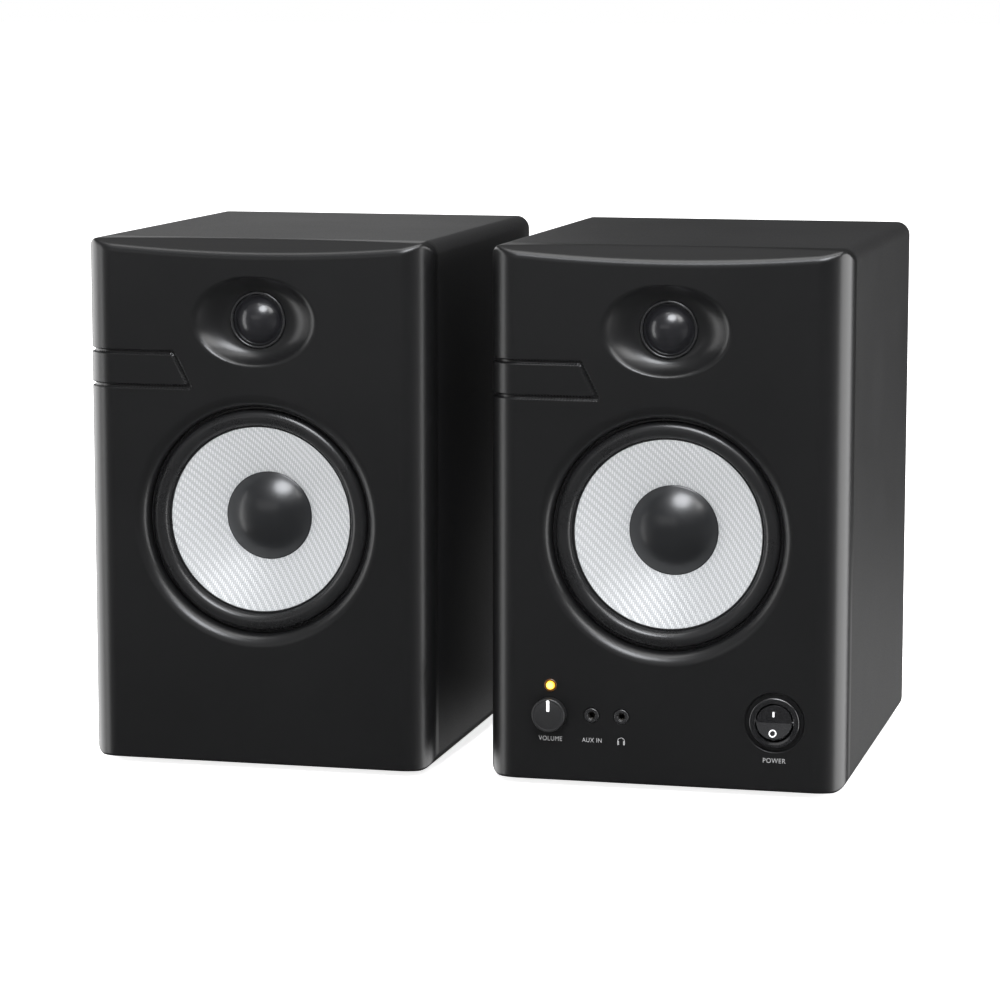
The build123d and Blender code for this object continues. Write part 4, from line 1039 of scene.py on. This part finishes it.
def tweeter(side):
    at, moving = (0.0, TWEETER_Z), side + "_tweeter_diaphragm"
    nose = [(13.15, 8.9)] + arc(13.83, 7.75, 0.68, 180, 360, 14)
    nose += [(14.5, 8.4), (14.5, 10.0), (27.0, 10.0), (27.0, 12.0), (13.15, 12.0)]
    ring = turned(side + "_tweeter_ring_skin", side, at, nose, 128, 40)
    dress(ring, "ring_gloss", side + "_speaker", "black_plastic", side + "_tweeter_ring")
    former = [(11.8, DOME_SEAT + 0.3), (11.8, 15.0), (11.4, 15.0), (11.4, DOME_SEAT + 0.6)]
    outline = dome_outline(DOME_RADIUS, DOME_RISE, DOME_SEAT, 26, former, 26, 0.965, DOME_WALL)
    dome = turned(side + "_tweeter_dome_skin", side, at, outline, 112, 40)
    dress(dome, "dome_silk", moving, None, side + "_tweeter_dome")
    roll = [(11.85, 9.15)] + arc(12.45, 9.1, 0.58, 180, 360, 10) + [(13.12, 9.1), (13.12, 9.4), (11.85, 9.4)]
    roll = turned(side + "_tweeter_roll", side, at, roll, 96, 50)
    blended(roll, side, at, 11.95, 13.0, "dome_silk")


def port(side):
    inner = [(18.0, 132.0), (18.0, 211.0)] + arc(27.0, 213.0, 9.0, 180, 94, 12)
    outline = [(r, min(y, DEEP + 2.0)) for r, y in inner]
    outline += [(27.4, 221.9), (27.9, 221.5), (28.0, 221.0), (28.0, 220.02), (20.0, 220.02)]
    outline += [(20.0, 132.0), (19.6, 131.6), (18.4, 131.6)]
    flare = turned(side + "_port_skin", side, (0.0, 215.0), outline, 112, 40)
    dress(flare, "black_plastic", side + "_speaker", None, side + "_port_tube")


# Repeats, made with Geometry Nodes

class Tree:
    """A Geometry Nodes tree with named inputs."""

    def __init__(self, name, sizes):
        self.tree = bpy.data.node_groups.new(name, "GeometryNodeTree")
        face = self.tree.interface
        face.new_socket("Geometry", in_out="INPUT", socket_type="NodeSocketGeometry")
        for label, value in sizes.items():
            kind = "NodeSocketInt" if isinstance(value, int) else "NodeSocketFloat"
            face.new_socket(label, in_out="INPUT", socket_type=kind).default_value = value
        face.new_socket("Geometry", in_out="OUTPUT", socket_type="NodeSocketGeometry")
        self.start = self.tree.nodes.new("NodeGroupInput")
        self.end = self.tree.nodes.new("NodeGroupOutput")

    def input(self, name):
        return self.start.outputs[name]

    def node(self, kind, settings=None, inputs=None, output=0):
        made = self.tree.nodes.new(kind)
        for key, value in (settings or {}).items():
            setattr(made, key, value)
        for key, value in (inputs or {}).items():
            for one in value if isinstance(value, list) else [value]:
                if isinstance(one, bpy.types.NodeSocket):
                    self.tree.links.new(one, made.inputs[key])
                else:
                    made.inputs[key].default_value = one
        return made.outputs[output]

    def maths(self, operation, a, b):
        return self.node("ShaderNodeMath", {"operation": operation}, {0: a, 1: b})

    def vector(self, x=0.0, y=0.0, z=0.0):
        return self.node("ShaderNodeCombineXYZ", inputs={0: x, 1: y, 2: z})

    def shape(self, kind, **inputs):
        """A geometry node by the end of its type, with its sockets by their names."""
        inputs = {key.replace("_", " "): value for key, value in inputs.items()}
        return self.node("GeometryNode" + kind, inputs=inputs)

    def done(self, geometry, finish):
        real = self.shape("RealizeInstances", Geometry=geometry)
        coloured = self.shape("SetMaterial", Geometry=real, Material=FINISH[finish])
        self.tree.links.new(coloured, self.end.inputs[0])
        return self.tree

    def socket(self, label):
        items = self.tree.interface.items_tree
        return next(i.identifier for i in items if i.name == label and i.in_out == "INPUT")


def grown(name, tree, side, seats, sizes):
    """Run a tree on a set of seats and keep the plain mesh."""
    host = mesh_object(name, side, seats, [], None)
    step = host.modifiers.new("repeat", "NODES")
    step.node_group = tree.tree
    for label, value in sizes.items():
        step[tree.socket(label)] = value
    host.data = evaluated(host)
    shade(host.data, 30)
    return host


def screw_tree():
    """A pan head with a cross recess and its shank, on every seat; heads face the back."""
    t = Tree("screws", {"Head radius": 0.003, "Head height": 0.002, "Shank radius": 0.00135,
                        "Shank length": 0.01, "Slot width": 0.0009})
    radius, height, shank_length = t.input("Head radius"), t.input("Head height"), t.input("Shank length")
    head = t.shape("MeshUVSphere", Segments=32, Rings=16, Radius=radius)
    head = t.shape("Transform", Geometry=head, Scale=t.vector(1.0, 1.0, t.maths("DIVIDE", height, radius)))
    below = t.shape("MeshCube", Size=t.vector(0.02, 0.02, 0.01))
    below = t.shape("Transform", Geometry=below, Translation=(0, 0, -0.005))
    slots = []
    for turn in (0.0, math.pi / 2):
        size = t.vector(t.maths("MULTIPLY", radius, 1.15), t.input("Slot width"), height)
        slot = t.shape("MeshCube", Size=size)
        slots.append(t.shape("Transform", Geometry=slot, Translation=t.vector(z=height), Rotation=(0, 0, turn)))
    cut = t.node("GeometryNodeMeshBoolean", {"operation": "DIFFERENCE", "solver": "EXACT"},
                 {0: head, 1: [below] + slots})
    shank = t.shape("MeshCylinder", Vertices=20, Radius=t.input("Shank radius"), Depth=shank_length)
    drop = t.vector(z=t.maths("MULTIPLY", shank_length, -0.5))
    shank = t.shape("Transform", Geometry=shank, Translation=drop)
    whole = t.shape("JoinGeometry", Geometry=[cut, shank])
    points = t.shape("MeshToPoints", Mesh=t.input("Geometry"))
    spin = t.node("FunctionNodeRandomValue", {"data_type": "FLOAT"}, {2: 0.0, 3: 1.5, "Seed": 7}, 1)
    spread = t.shape("InstanceOnPoints", Points=points, Instance=whole, Rotation=t.vector(-math.pi / 2, spin))
    t.done(spread, "screw_steel")
    return t


def fin_tree():
    """Rounded fins of one length, side by side along X."""
    t = Tree("sink_fins", {"Fins": 11, "Pitch": 0.00982, "Fin wall": 0.0018, "Fin reach": 0.013,
                           "Fin length": 0.04, "Edge": 0.0006})
    profile = t.shape("CurvePrimitiveQuadrilateral", Width=t.input("Fin wall"), Height=t.input("Fin reach"))
    profile = t.node("GeometryNodeFilletCurve", {"mode": "POLY"},
                     {"Curve": profile, "Count": 4, "Radius": t.input("Edge")})
    line = t.shape("CurvePrimitiveLine", End=t.vector(z=t.input("Fin length")))
    fin = t.shape("CurveToMesh", Curve=line, Profile_Curve=profile, Fill_Caps=True)
    row = t.shape("MeshLine", Count=t.input("Fins"), Offset=t.vector(t.input("Pitch")))
    points = t.shape("MeshToPoints", Mesh=t.input("Geometry"))
    rows = t.shape("InstanceOnPoints", Points=points, Instance=row)
    rows = t.shape("RealizeInstances", Geometry=rows)
    fins = t.shape("InstanceOnPoints", Points=rows, Instance=fin)
    t.done(fins, "sink_aluminium")
    return t


# Front controls

def volume_pieces():
    knob = [(0.0, -5.88), (6.9, -5.88), (7.1, -5.80), (7.35, -5.90), (7.8, -5.95)]
    knob += arc(7.85, -5.3, 0.65, 270, 360, 8)
    knob += [(8.5, -1.25), (8.3, -1.05), (3.2, -1.05), (3.2, -4.3), (0.0, -4.3)]
    knob = turned("volume_knob_skin", "right", KNOB, knob, 128, 30)
    dress(knob, "knob_plastic", "volume_control", None, "volume_knob")
    mark = lozenge("volume_pointer", "right", (KNOB[0], KNOB[1] + 4.9), 0.72, 2.8, -5.985, -5.5, 0.3)
    dress(mark, "print_white", "volume_control", "knob_plastic")


def lamp_pieces():
    """The lens, flattened in front, and the ring it sits in."""
    radius = 2.15
    angles = [math.radians(6 * i) for i in range(1, 16)]
    lens = [(0.0, -2.3)] + [(radius * math.sin(a), -0.15 - radius * math.cos(a)) for a in angles]
    lens += [(radius, 16.0), (0.0, 16.0)]
    lens = [(r, max(y, -1.1)) if r < 1.9 and y < -1.1 else (r, y) for r, y in lens]
    lens = turned("power_led_skin", "right", LAMP, lens, 64, 50)
    dress(lens, "led_lens", "right_speaker", None, "power_led")
    # The ring's dark amber finish paints the lamp's glow onto the rim round the lens.
    ring = [(2.2, 0.6)] + arc(2.75, -0.05, 0.5, 180, 360, 8)
    ring += [(3.25, 0.0), (3.3, 0.02), (2.5, 0.05), (2.5, 3.4), (2.2, 3.4)]
    ring = turned("power_led_ring", "right", LAMP, ring, 64, 50)
    dress(ring, "lamp_ring", "right_speaker", "black_plastic")


def jack_pieces():
    for node, at in (("aux_socket", AUX), ("headphone_socket", PHONES)):
        collar = [(1.8, 14.0), (1.8, 0.5), (2.1, 0.2), (2.1, -0.25)] + arc(2.4, -0.25, 0.3, 180, 270, 5)
        collar += arc(3.15, 0.0, 0.6, 270, 360, 7)
        collar += [(3.72, 0.3), (3.72, 3.6), (6.0, 3.6), (6.0, 16.0), (0.0, 16.0), (0.0, 14.0)]
        collar = turned(node + "_skin", "right", at, collar, 72, 40)
        dress(collar, "ring_gloss", "right_speaker", "black_plastic", node)
        sleeve = [(1.3, 1.2), (1.3, 12.0), (1.78, 12.0), (1.78, 1.2)]
        sleeve = turned(node + "_contact", "right", at, sleeve, 40, 40)
        dress(sleeve, "nickel", "right_speaker", "black_plastic")


def switch_pieces():
    bezel = [(9.42, 18.0), (9.42, 0.2), (9.55, -0.35)] + arc(10.2, -0.4, 0.62, 190, 262, 6)
    bezel += [(10.8, -1.24), (11.4, -1.36)] + arc(11.8, -0.6, 0.78, 270, 360, 8)
    bezel += [(12.6, 1.48), (11.2, 1.48), (11.2, 18.0)]
    bezel = turned("power_switch_skin", "right", SWITCH, bezel, 128, 40)
    cup = [(9.42, 8.0), (0.0, 8.0), (0.0, 18.0), (9.42, 18.0)]
    cup = turned("power_switch_cup", "right", SWITCH, cup, 96, 40)
    bezel = joined("power_switch_skin", [bezel, cup])
    shade(bezel.data, 40)
    dress(bezel, "switch_gloss", "right_speaker", None, "power_switch")
    rocker = refined("power_rocker", 0.45, segments=3, angle=14.0)
    dress(rocker, "switch_gloss", "power_key")
    x, z = SWITCH
    stroke = lozenge("power_mark_on", "right", (x - 0.35, z + 4.3), 0.42, 1.3, -1.10, -0.85, 0.1)
    dress(stroke, "print_switch", "power_key", "switch_gloss")
    circle = [(1.35, -0.08), (1.9, -0.08), (1.9, 0.1), (1.35, 0.1)]
    circle = turned("power_mark_off", "right", (0.0, 0.0), circle, 40, 30)
    tilt, down = math.radians(22.0), 4.9
    turn = Matrix.Rotation(-tilt, 4, "X")
    seat = ORIGIN["right"] + Vector((x - 0.4, -1.0 - down * math.tan(tilt), z - down)) * 0.001
    circle.data.transform(Matrix.Translation(seat) @ turn @ Matrix.Translation(-ORIGIN["right"]))
    dress(circle, "print_switch", "power_key", "switch_gloss")


def lozenge(name, side, centre, half_wide, half_high, y0, y1, corner):
    """A small flat print or inlay with rounded corners."""
    outline = []
    for sx, sz, start in ((1, 1, 0), (-1, 1, 90), (-1, -1, 180), (1, -1, 270)):
        for i in range(5):
            a = math.radians(start + 22.5 * i)
            outline.append((centre[0] + sx * (half_wide - corner) + corner * math.cos(a),
                            centre[1] + sz * (half_high - corner) + corner * math.sin(a)))
    n = len(outline)
    points = [(x, y0, z) for x, z in outline] + [(x, y1, z) for x, z in outline]
    faces = [list(range(n)), list(range(2 * n - 1, n - 1, -1))]
    faces += [[i, n + i, n + (i + 1) % n, (i + 1) % n] for i in range(n)]
    return smooth_closed(mesh_object(name, side, points, faces, None))


def smooth_closed(piece):
    outward(piece)
    shade(piece.data, 30)
    return piece


def lettering(name, text, centre, width, height):
    """Raised print of plain capitals, face to the front."""
    curve = bpy.data.curves.new(name, "FONT")
    curve.body = text
    curve.extrude = 0.02
    curve.align_x, curve.align_y = "CENTER", "CENTER"
    curve.space_character = 1.12
    host = placed_object(name + "_curve", curve)
    mesh = bpy.data.meshes.new_from_object(host.evaluated_get(bpy.context.evaluated_depsgraph_get()))
    bpy.data.objects.remove(host)
    co = np.array([v.co for v in mesh.vertices])
    low, high = co.min(0), co.max(0)
    co = (co - (low + high) / 2) / (high - low)
    at = ORIGIN["right"]
    placed = np.stack([at.x + (centre[0] + co[:, 0] * width) * 0.001,
                       at.y - 0.00005 * (0.5 + co[:, 2]),
                       at.z + (centre[1] + co[:, 1] * height) * 0.001], -1)
    mesh.vertices.foreach_set("co", placed.astype(np.float32).ravel())
    mesh.update()
    piece = placed_object(name, mesh)
    outward(piece)
    dress(piece, "print_grey", "right_speaker", "baffle_plastic")


def headphone_mark():
    """A small printed headband with two ear pads."""
    x, z = -21.4, 21.7
    points, faces = [], []
    steps, outer, inner = 20, 1.9, 1.62
    for y in (-0.04, 0.05):
        for i in range(steps + 1):
            a = math.pi * i / steps
            for r in (outer, inner):
                points.append((x + r * math.cos(a), y, z + 0.1 + r * math.sin(a)))
    row = 2 * (steps + 1)
    for i in range(steps):
        a, b = 2 * i, 2 * i + 2
        faces += [[a, a + 1, b + 1, b], [row + a, row + b, row + b + 1, row + a + 1],
                  [a, b, row + b, row + a], [a + 1, row + a + 1, row + b + 1, b + 1]]
    last = 2 * steps
    faces += [[0, row, row + 1, 1], [last, last + 1, row + last + 1, row + last]]
    band = smooth_closed(mesh_object("headphone_band", "right", points, faces, None))
    pads = [lozenge("headphone_pad", "right", (x + apart, z - 0.7), 0.42, 1.05, -0.05, 0.05, 0.25)
            for apart in (-1.5, 1.5)]
    mark = joined("headphone_mark", [band] + pads)
    shade(mark.data, 30)
    dress(mark, "print_grey", "right_speaker", "baffle_plastic")


# The lining

def batting(side):
    """The lining, loosened from its plain CAD block into a soft lumpy sheet."""
    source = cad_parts[side + "_wadding"]
    piece = placed_object(side + "_lining_skin", source.data.copy())
    remesh = piece.modifiers.new("remesh", "REMESH")
    remesh.mode, remesh.voxel_size = "VOXEL", 0.004
    soft = piece.modifiers.new("soft", "SMOOTH")
    soft.factor, soft.iterations = 0.6, 4
    piece.data = mesh = evaluated(piece)
    co = np.array([v.co for v in mesh.vertices])
    no = np.array([v.normal for v in mesh.vertices])
    lump = np.sin(co[:, 0] * 310 + 1) * np.sin(co[:, 1] * 270) * np.sin(co[:, 2] * 290 + 2)
    co = co - no * (0.0006 + 0.0005 * lump)[:, None]
    mesh.vertices.foreach_set("co", co.astype(np.float32).ravel())
    mesh.update()
    shade(piece.data, 60)
    dress(piece, "lining", side + "_speaker", None, side + "_wadding")


# Assembly

for node_name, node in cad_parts.items():
    for index, plain in enumerate(list(node.data.materials)):
        node.data.materials[index] = FINISH[plain.name.removeprefix("plain_")]

for side in SIDES:
    body = side + "_speaker"
    dress(front_panel(side), "baffle_plastic", body, None, side + "_baffle")
    woofer(side)
    tweeter(side)
    port(side)
    dress(refined(side + "_cabinet", 0.5), "cabinet_vinyl", body)
    dress(refined(side + "_feet", 0.7), "foot_rubber", body)

for make in (volume_pieces, lamp_pieces, jack_pieces, switch_pieces):
    make()
for name, text, centre, wide, high in (("label_volume", "VOLUME", (-57.7, 21.6), 12.0, 2.3),
                                       ("label_aux", "AUX IN", (-36.4, 21.7), 10.0, 2.3),
                                       ("label_power", "POWER", (56.1, 16.0), 11.3, 2.4)):
    lettering(name, text, centre, wide, high)
headphone_mark()

for node_name, finish, body, bevel in (
        ("amplifier_panel", "panel_paint", "right_speaker", 0.4),
        ("mains_inlet", "black_plastic", "right_speaker", 0.5),
        ("output_terminal", "black_plastic", "right_speaker", 0.5),
        ("trs_sockets", "black_plastic", "right_speaker", 0.4),
        ("bass_switch_slider", "black_plastic", "bass_selector", 0.4),
        ("input_terminal", "black_plastic", "left_speaker", 0.5)):
    dress(refined(node_name, bevel), finish, body)
for place in ("output", "input"):
    for colour in ("black", "red"):
        lever = refined(f"{place}_lever_{colour}", 0.5, segments=3)
        dress(lever, "lever_" + colour, f"{place}_clip_{colour}")

screw = screw_tree()
PANEL_OUT = DEEP + 2.0
REAR_SEATS = {
    "right": [(x, PANEL_OUT, z) for x in (-62.0, 0.0, 62.0) for z in (22.0, 168.0)],
    "left": [(x, PANEL_OUT, 70.0) for x in (-27.0, 27.0)],
}
driver_seats = []
for circle, count, first, z0, y in ((62.6, 4, 45, WOOFER_Z, 11.0), (23.3, 2, 90, TWEETER_Z, 12.0)):
    for i in range(count):
        a = math.radians(first + 360 * i / count)
        driver_seats.append((circle * math.cos(a), y, z0 + circle * math.sin(a)))
for side, seats in REAR_SEATS.items():
    rear = grown(side + "_rear_screws", screw, side, seats, {"Shank length": 0.0125})
    inside = grown(side + "_driver_screws", screw, side, driver_seats, {"Shank length": 0.0055})
    screws = joined(side + "_screw_set", [rear, inside])
    shade(screws.data, 30)
    dress(screws, "screw_steel", side + "_speaker", None, side + "_screws")

fins = fin_tree()
sink = grown("sink_fins", fins, "right", [(-49.1, PANEL_OUT + 7.2, 122.0)],
             {"Fins": 11, "Pitch": 0.00982, "Fin reach": 0.0136})
plate = smooth_closed(lozenge("sink_plate", "right", (0.0, 142.0), 50.0, 20.0, PANEL_OUT, PANEL_OUT + 3.0, 1.0))
sink = joined("heat_sink_skin", [sink, plate])
shade(sink.data, 30)
dress(sink, "sink_aluminium", "right_speaker", None, "heat_sink")

PHONO_Z, PHONO_X = 104.0, (-44.0, -24.0)
for index, (x, finish) in enumerate(zip(PHONO_X, ("phono_white", "phono_red"))):
    collar = [(4.4, 222.0), (6.0, 222.0), (6.0, 223.2), (5.6, 223.6), (4.4, 223.6)]
    collar = turned(f"phono_collar_{index}", "right", (x, PHONO_Z), collar, 64, 30)
    dress(collar, finish, "right_speaker", "black_plastic")
barrel = [(1.7, 218.0), (1.7, 230.4), (2.1, 230.9), (3.8, 230.9), (4.15, 230.5)]
barrel += [(4.15, 199.0), (0.0, 199.0), (0.0, 218.0)]
barrels = joined("phono_barrels", [turned("phono_barrel", "right", (x, PHONO_Z), barrel, 64, 30) for x in PHONO_X])
shade(barrels.data, 30)
dress(barrels, "nickel", "right_speaker", "black_plastic", "rca_sockets")

for side in SIDES:
    batting(side)


# Floor, light and camera

def stage():
    floor_mesh = bpy.data.meshes.new("floor")
    reach = 30.0
    corners = [(-reach, -reach, 0), (reach, -reach, 0), (reach, reach, 0), (-reach, reach, 0)]
    floor_mesh.from_pydata(corners, [], [(0, 1, 2, 3)])
    floor = placed_object("floor", floor_mesh)
    f = Finish("floor_paper")
    f.set(Base_Color=f.mix(f.noise(3.0, 2.0), (0.90, 0.90, 0.90), (0.915, 0.915, 0.915)), Roughness=0.9)
    f.set(Emission_Color=(1, 1, 1, 1), Emission_Strength=0.8)
    floor_mesh.materials.append(f.material)
    floor.visible_glossy = False
    floor.visible_shadow = False


def softbox(name, place, target, wide, high, power, oval=False, colour=(1, 1, 1)):
    light = bpy.data.lights.new(name, "AREA")
    light.shape, light.size, light.size_y = "ELLIPSE" if oval else "RECTANGLE", wide, high
    light.energy, light.color = power, colour
    lamp = placed_object(name, light)
    lamp.location = place
    lamp.rotation_euler = (Vector(target) - Vector(place)).to_track_quat("-Z", "Y").to_euler()


def room():
    """White surround to the eye, a graded surround for light and reflections."""
    world = bpy.data.worlds.new("room")
    bpy.context.scene.world = world
    world.use_nodes = True
    g = Graph(world.node_tree)
    g.nodes.clear()
    x, y, z = g.split(g.node("ShaderNodeTexCoord", output="Generated"))
    below = g.ease(0.25 - z, 0.0, 0.5)
    glow = 0.012 + g.ease(z, 0.15, 0.95) * 0.34 + g.ease(y, 0.2, 1.0) * 0.015
    glow = glow + g.ease(x, 0.55, 1.0) * below * 0.42 + g.ease(0.0 - x, 0.55, 1.0) * below * 0.30
    path = g.node("ShaderNodeLightPath").socket.node.outputs
    seen, diffuse = Sock(g, path["Is Camera Ray"]), Sock(g, path["Is Diffuse Ray"])
    level = seen * 1.0 + diffuse * 1.15 + (1.0 - seen - diffuse) * glow
    light = g.node("ShaderNodeBackground", inputs={"Color": (1, 1, 1, 1), "Strength": level})
    out = g.nodes.new("ShaderNodeOutputWorld")
    g.links.new(light.socket, out.inputs[0])


def camera():
    """Long lens, slightly from the right and above; the aim is named in the right speaker's frame."""
    turn, rise = math.radians(13.785), math.radians(8.277)
    data = bpy.data.cameras.new("camera")
    data.sensor_width, data.lens = 36.0, 128.78
    view = placed_object("camera", data)
    view.location = ORIGIN["right"] + Vector((0.33764, -1.71765, 0.39899))
    view.rotation_euler = (math.pi / 2 - rise, 0.0, turn)
    bpy.context.scene.camera = view


stage()
room()
camera()
softbox("overhead", (0.1, -0.15, 1.9), (0, 0, 0.1), 1.7, 1.0, 20)
softbox("left_strip", (-1.85, 0.55, 0.1), (-0.1, 0, 0.14), 1.8, 1.9, 32)
softbox("left_front", (-1.75, -0.75, 0.1), (0.1, -0.1, 0.14), 0.45, 1.8, 8)
softbox("right_strip", (1.85, 0.25, 0.1), (0.1, -0.1, 0.14), 1.8, 1.8, 46)
softbox("back_left", (-0.95, 2.3, 0.75), (-0.1, 0, 0.27), 0.8, 0.5, 0.9)
softbox("low_right", (0.75, 2.2, -0.45), (0.2, 0, 0.05), 0.9, 0.35, 0.5)
softbox("front_card", (-0.5, -1.7, 0.50), (0, -0.1, 0.24), 1.2, 0.4, 1.1)
softbox("right_top", (1.0, -0.85, 1.40), (0, -0.1, 0.2), 0.5, 0.9, 9)
softbox("key", (0.28, -1.30, 1.55), (0, -0.1, 0.15), 1.0, 0.85, 33, True, (0.94, 0.96, 1.0))
bpy.context.scene.view_settings.view_transform = "Standard"
bpy.context.scene.view_settings.look = "None"
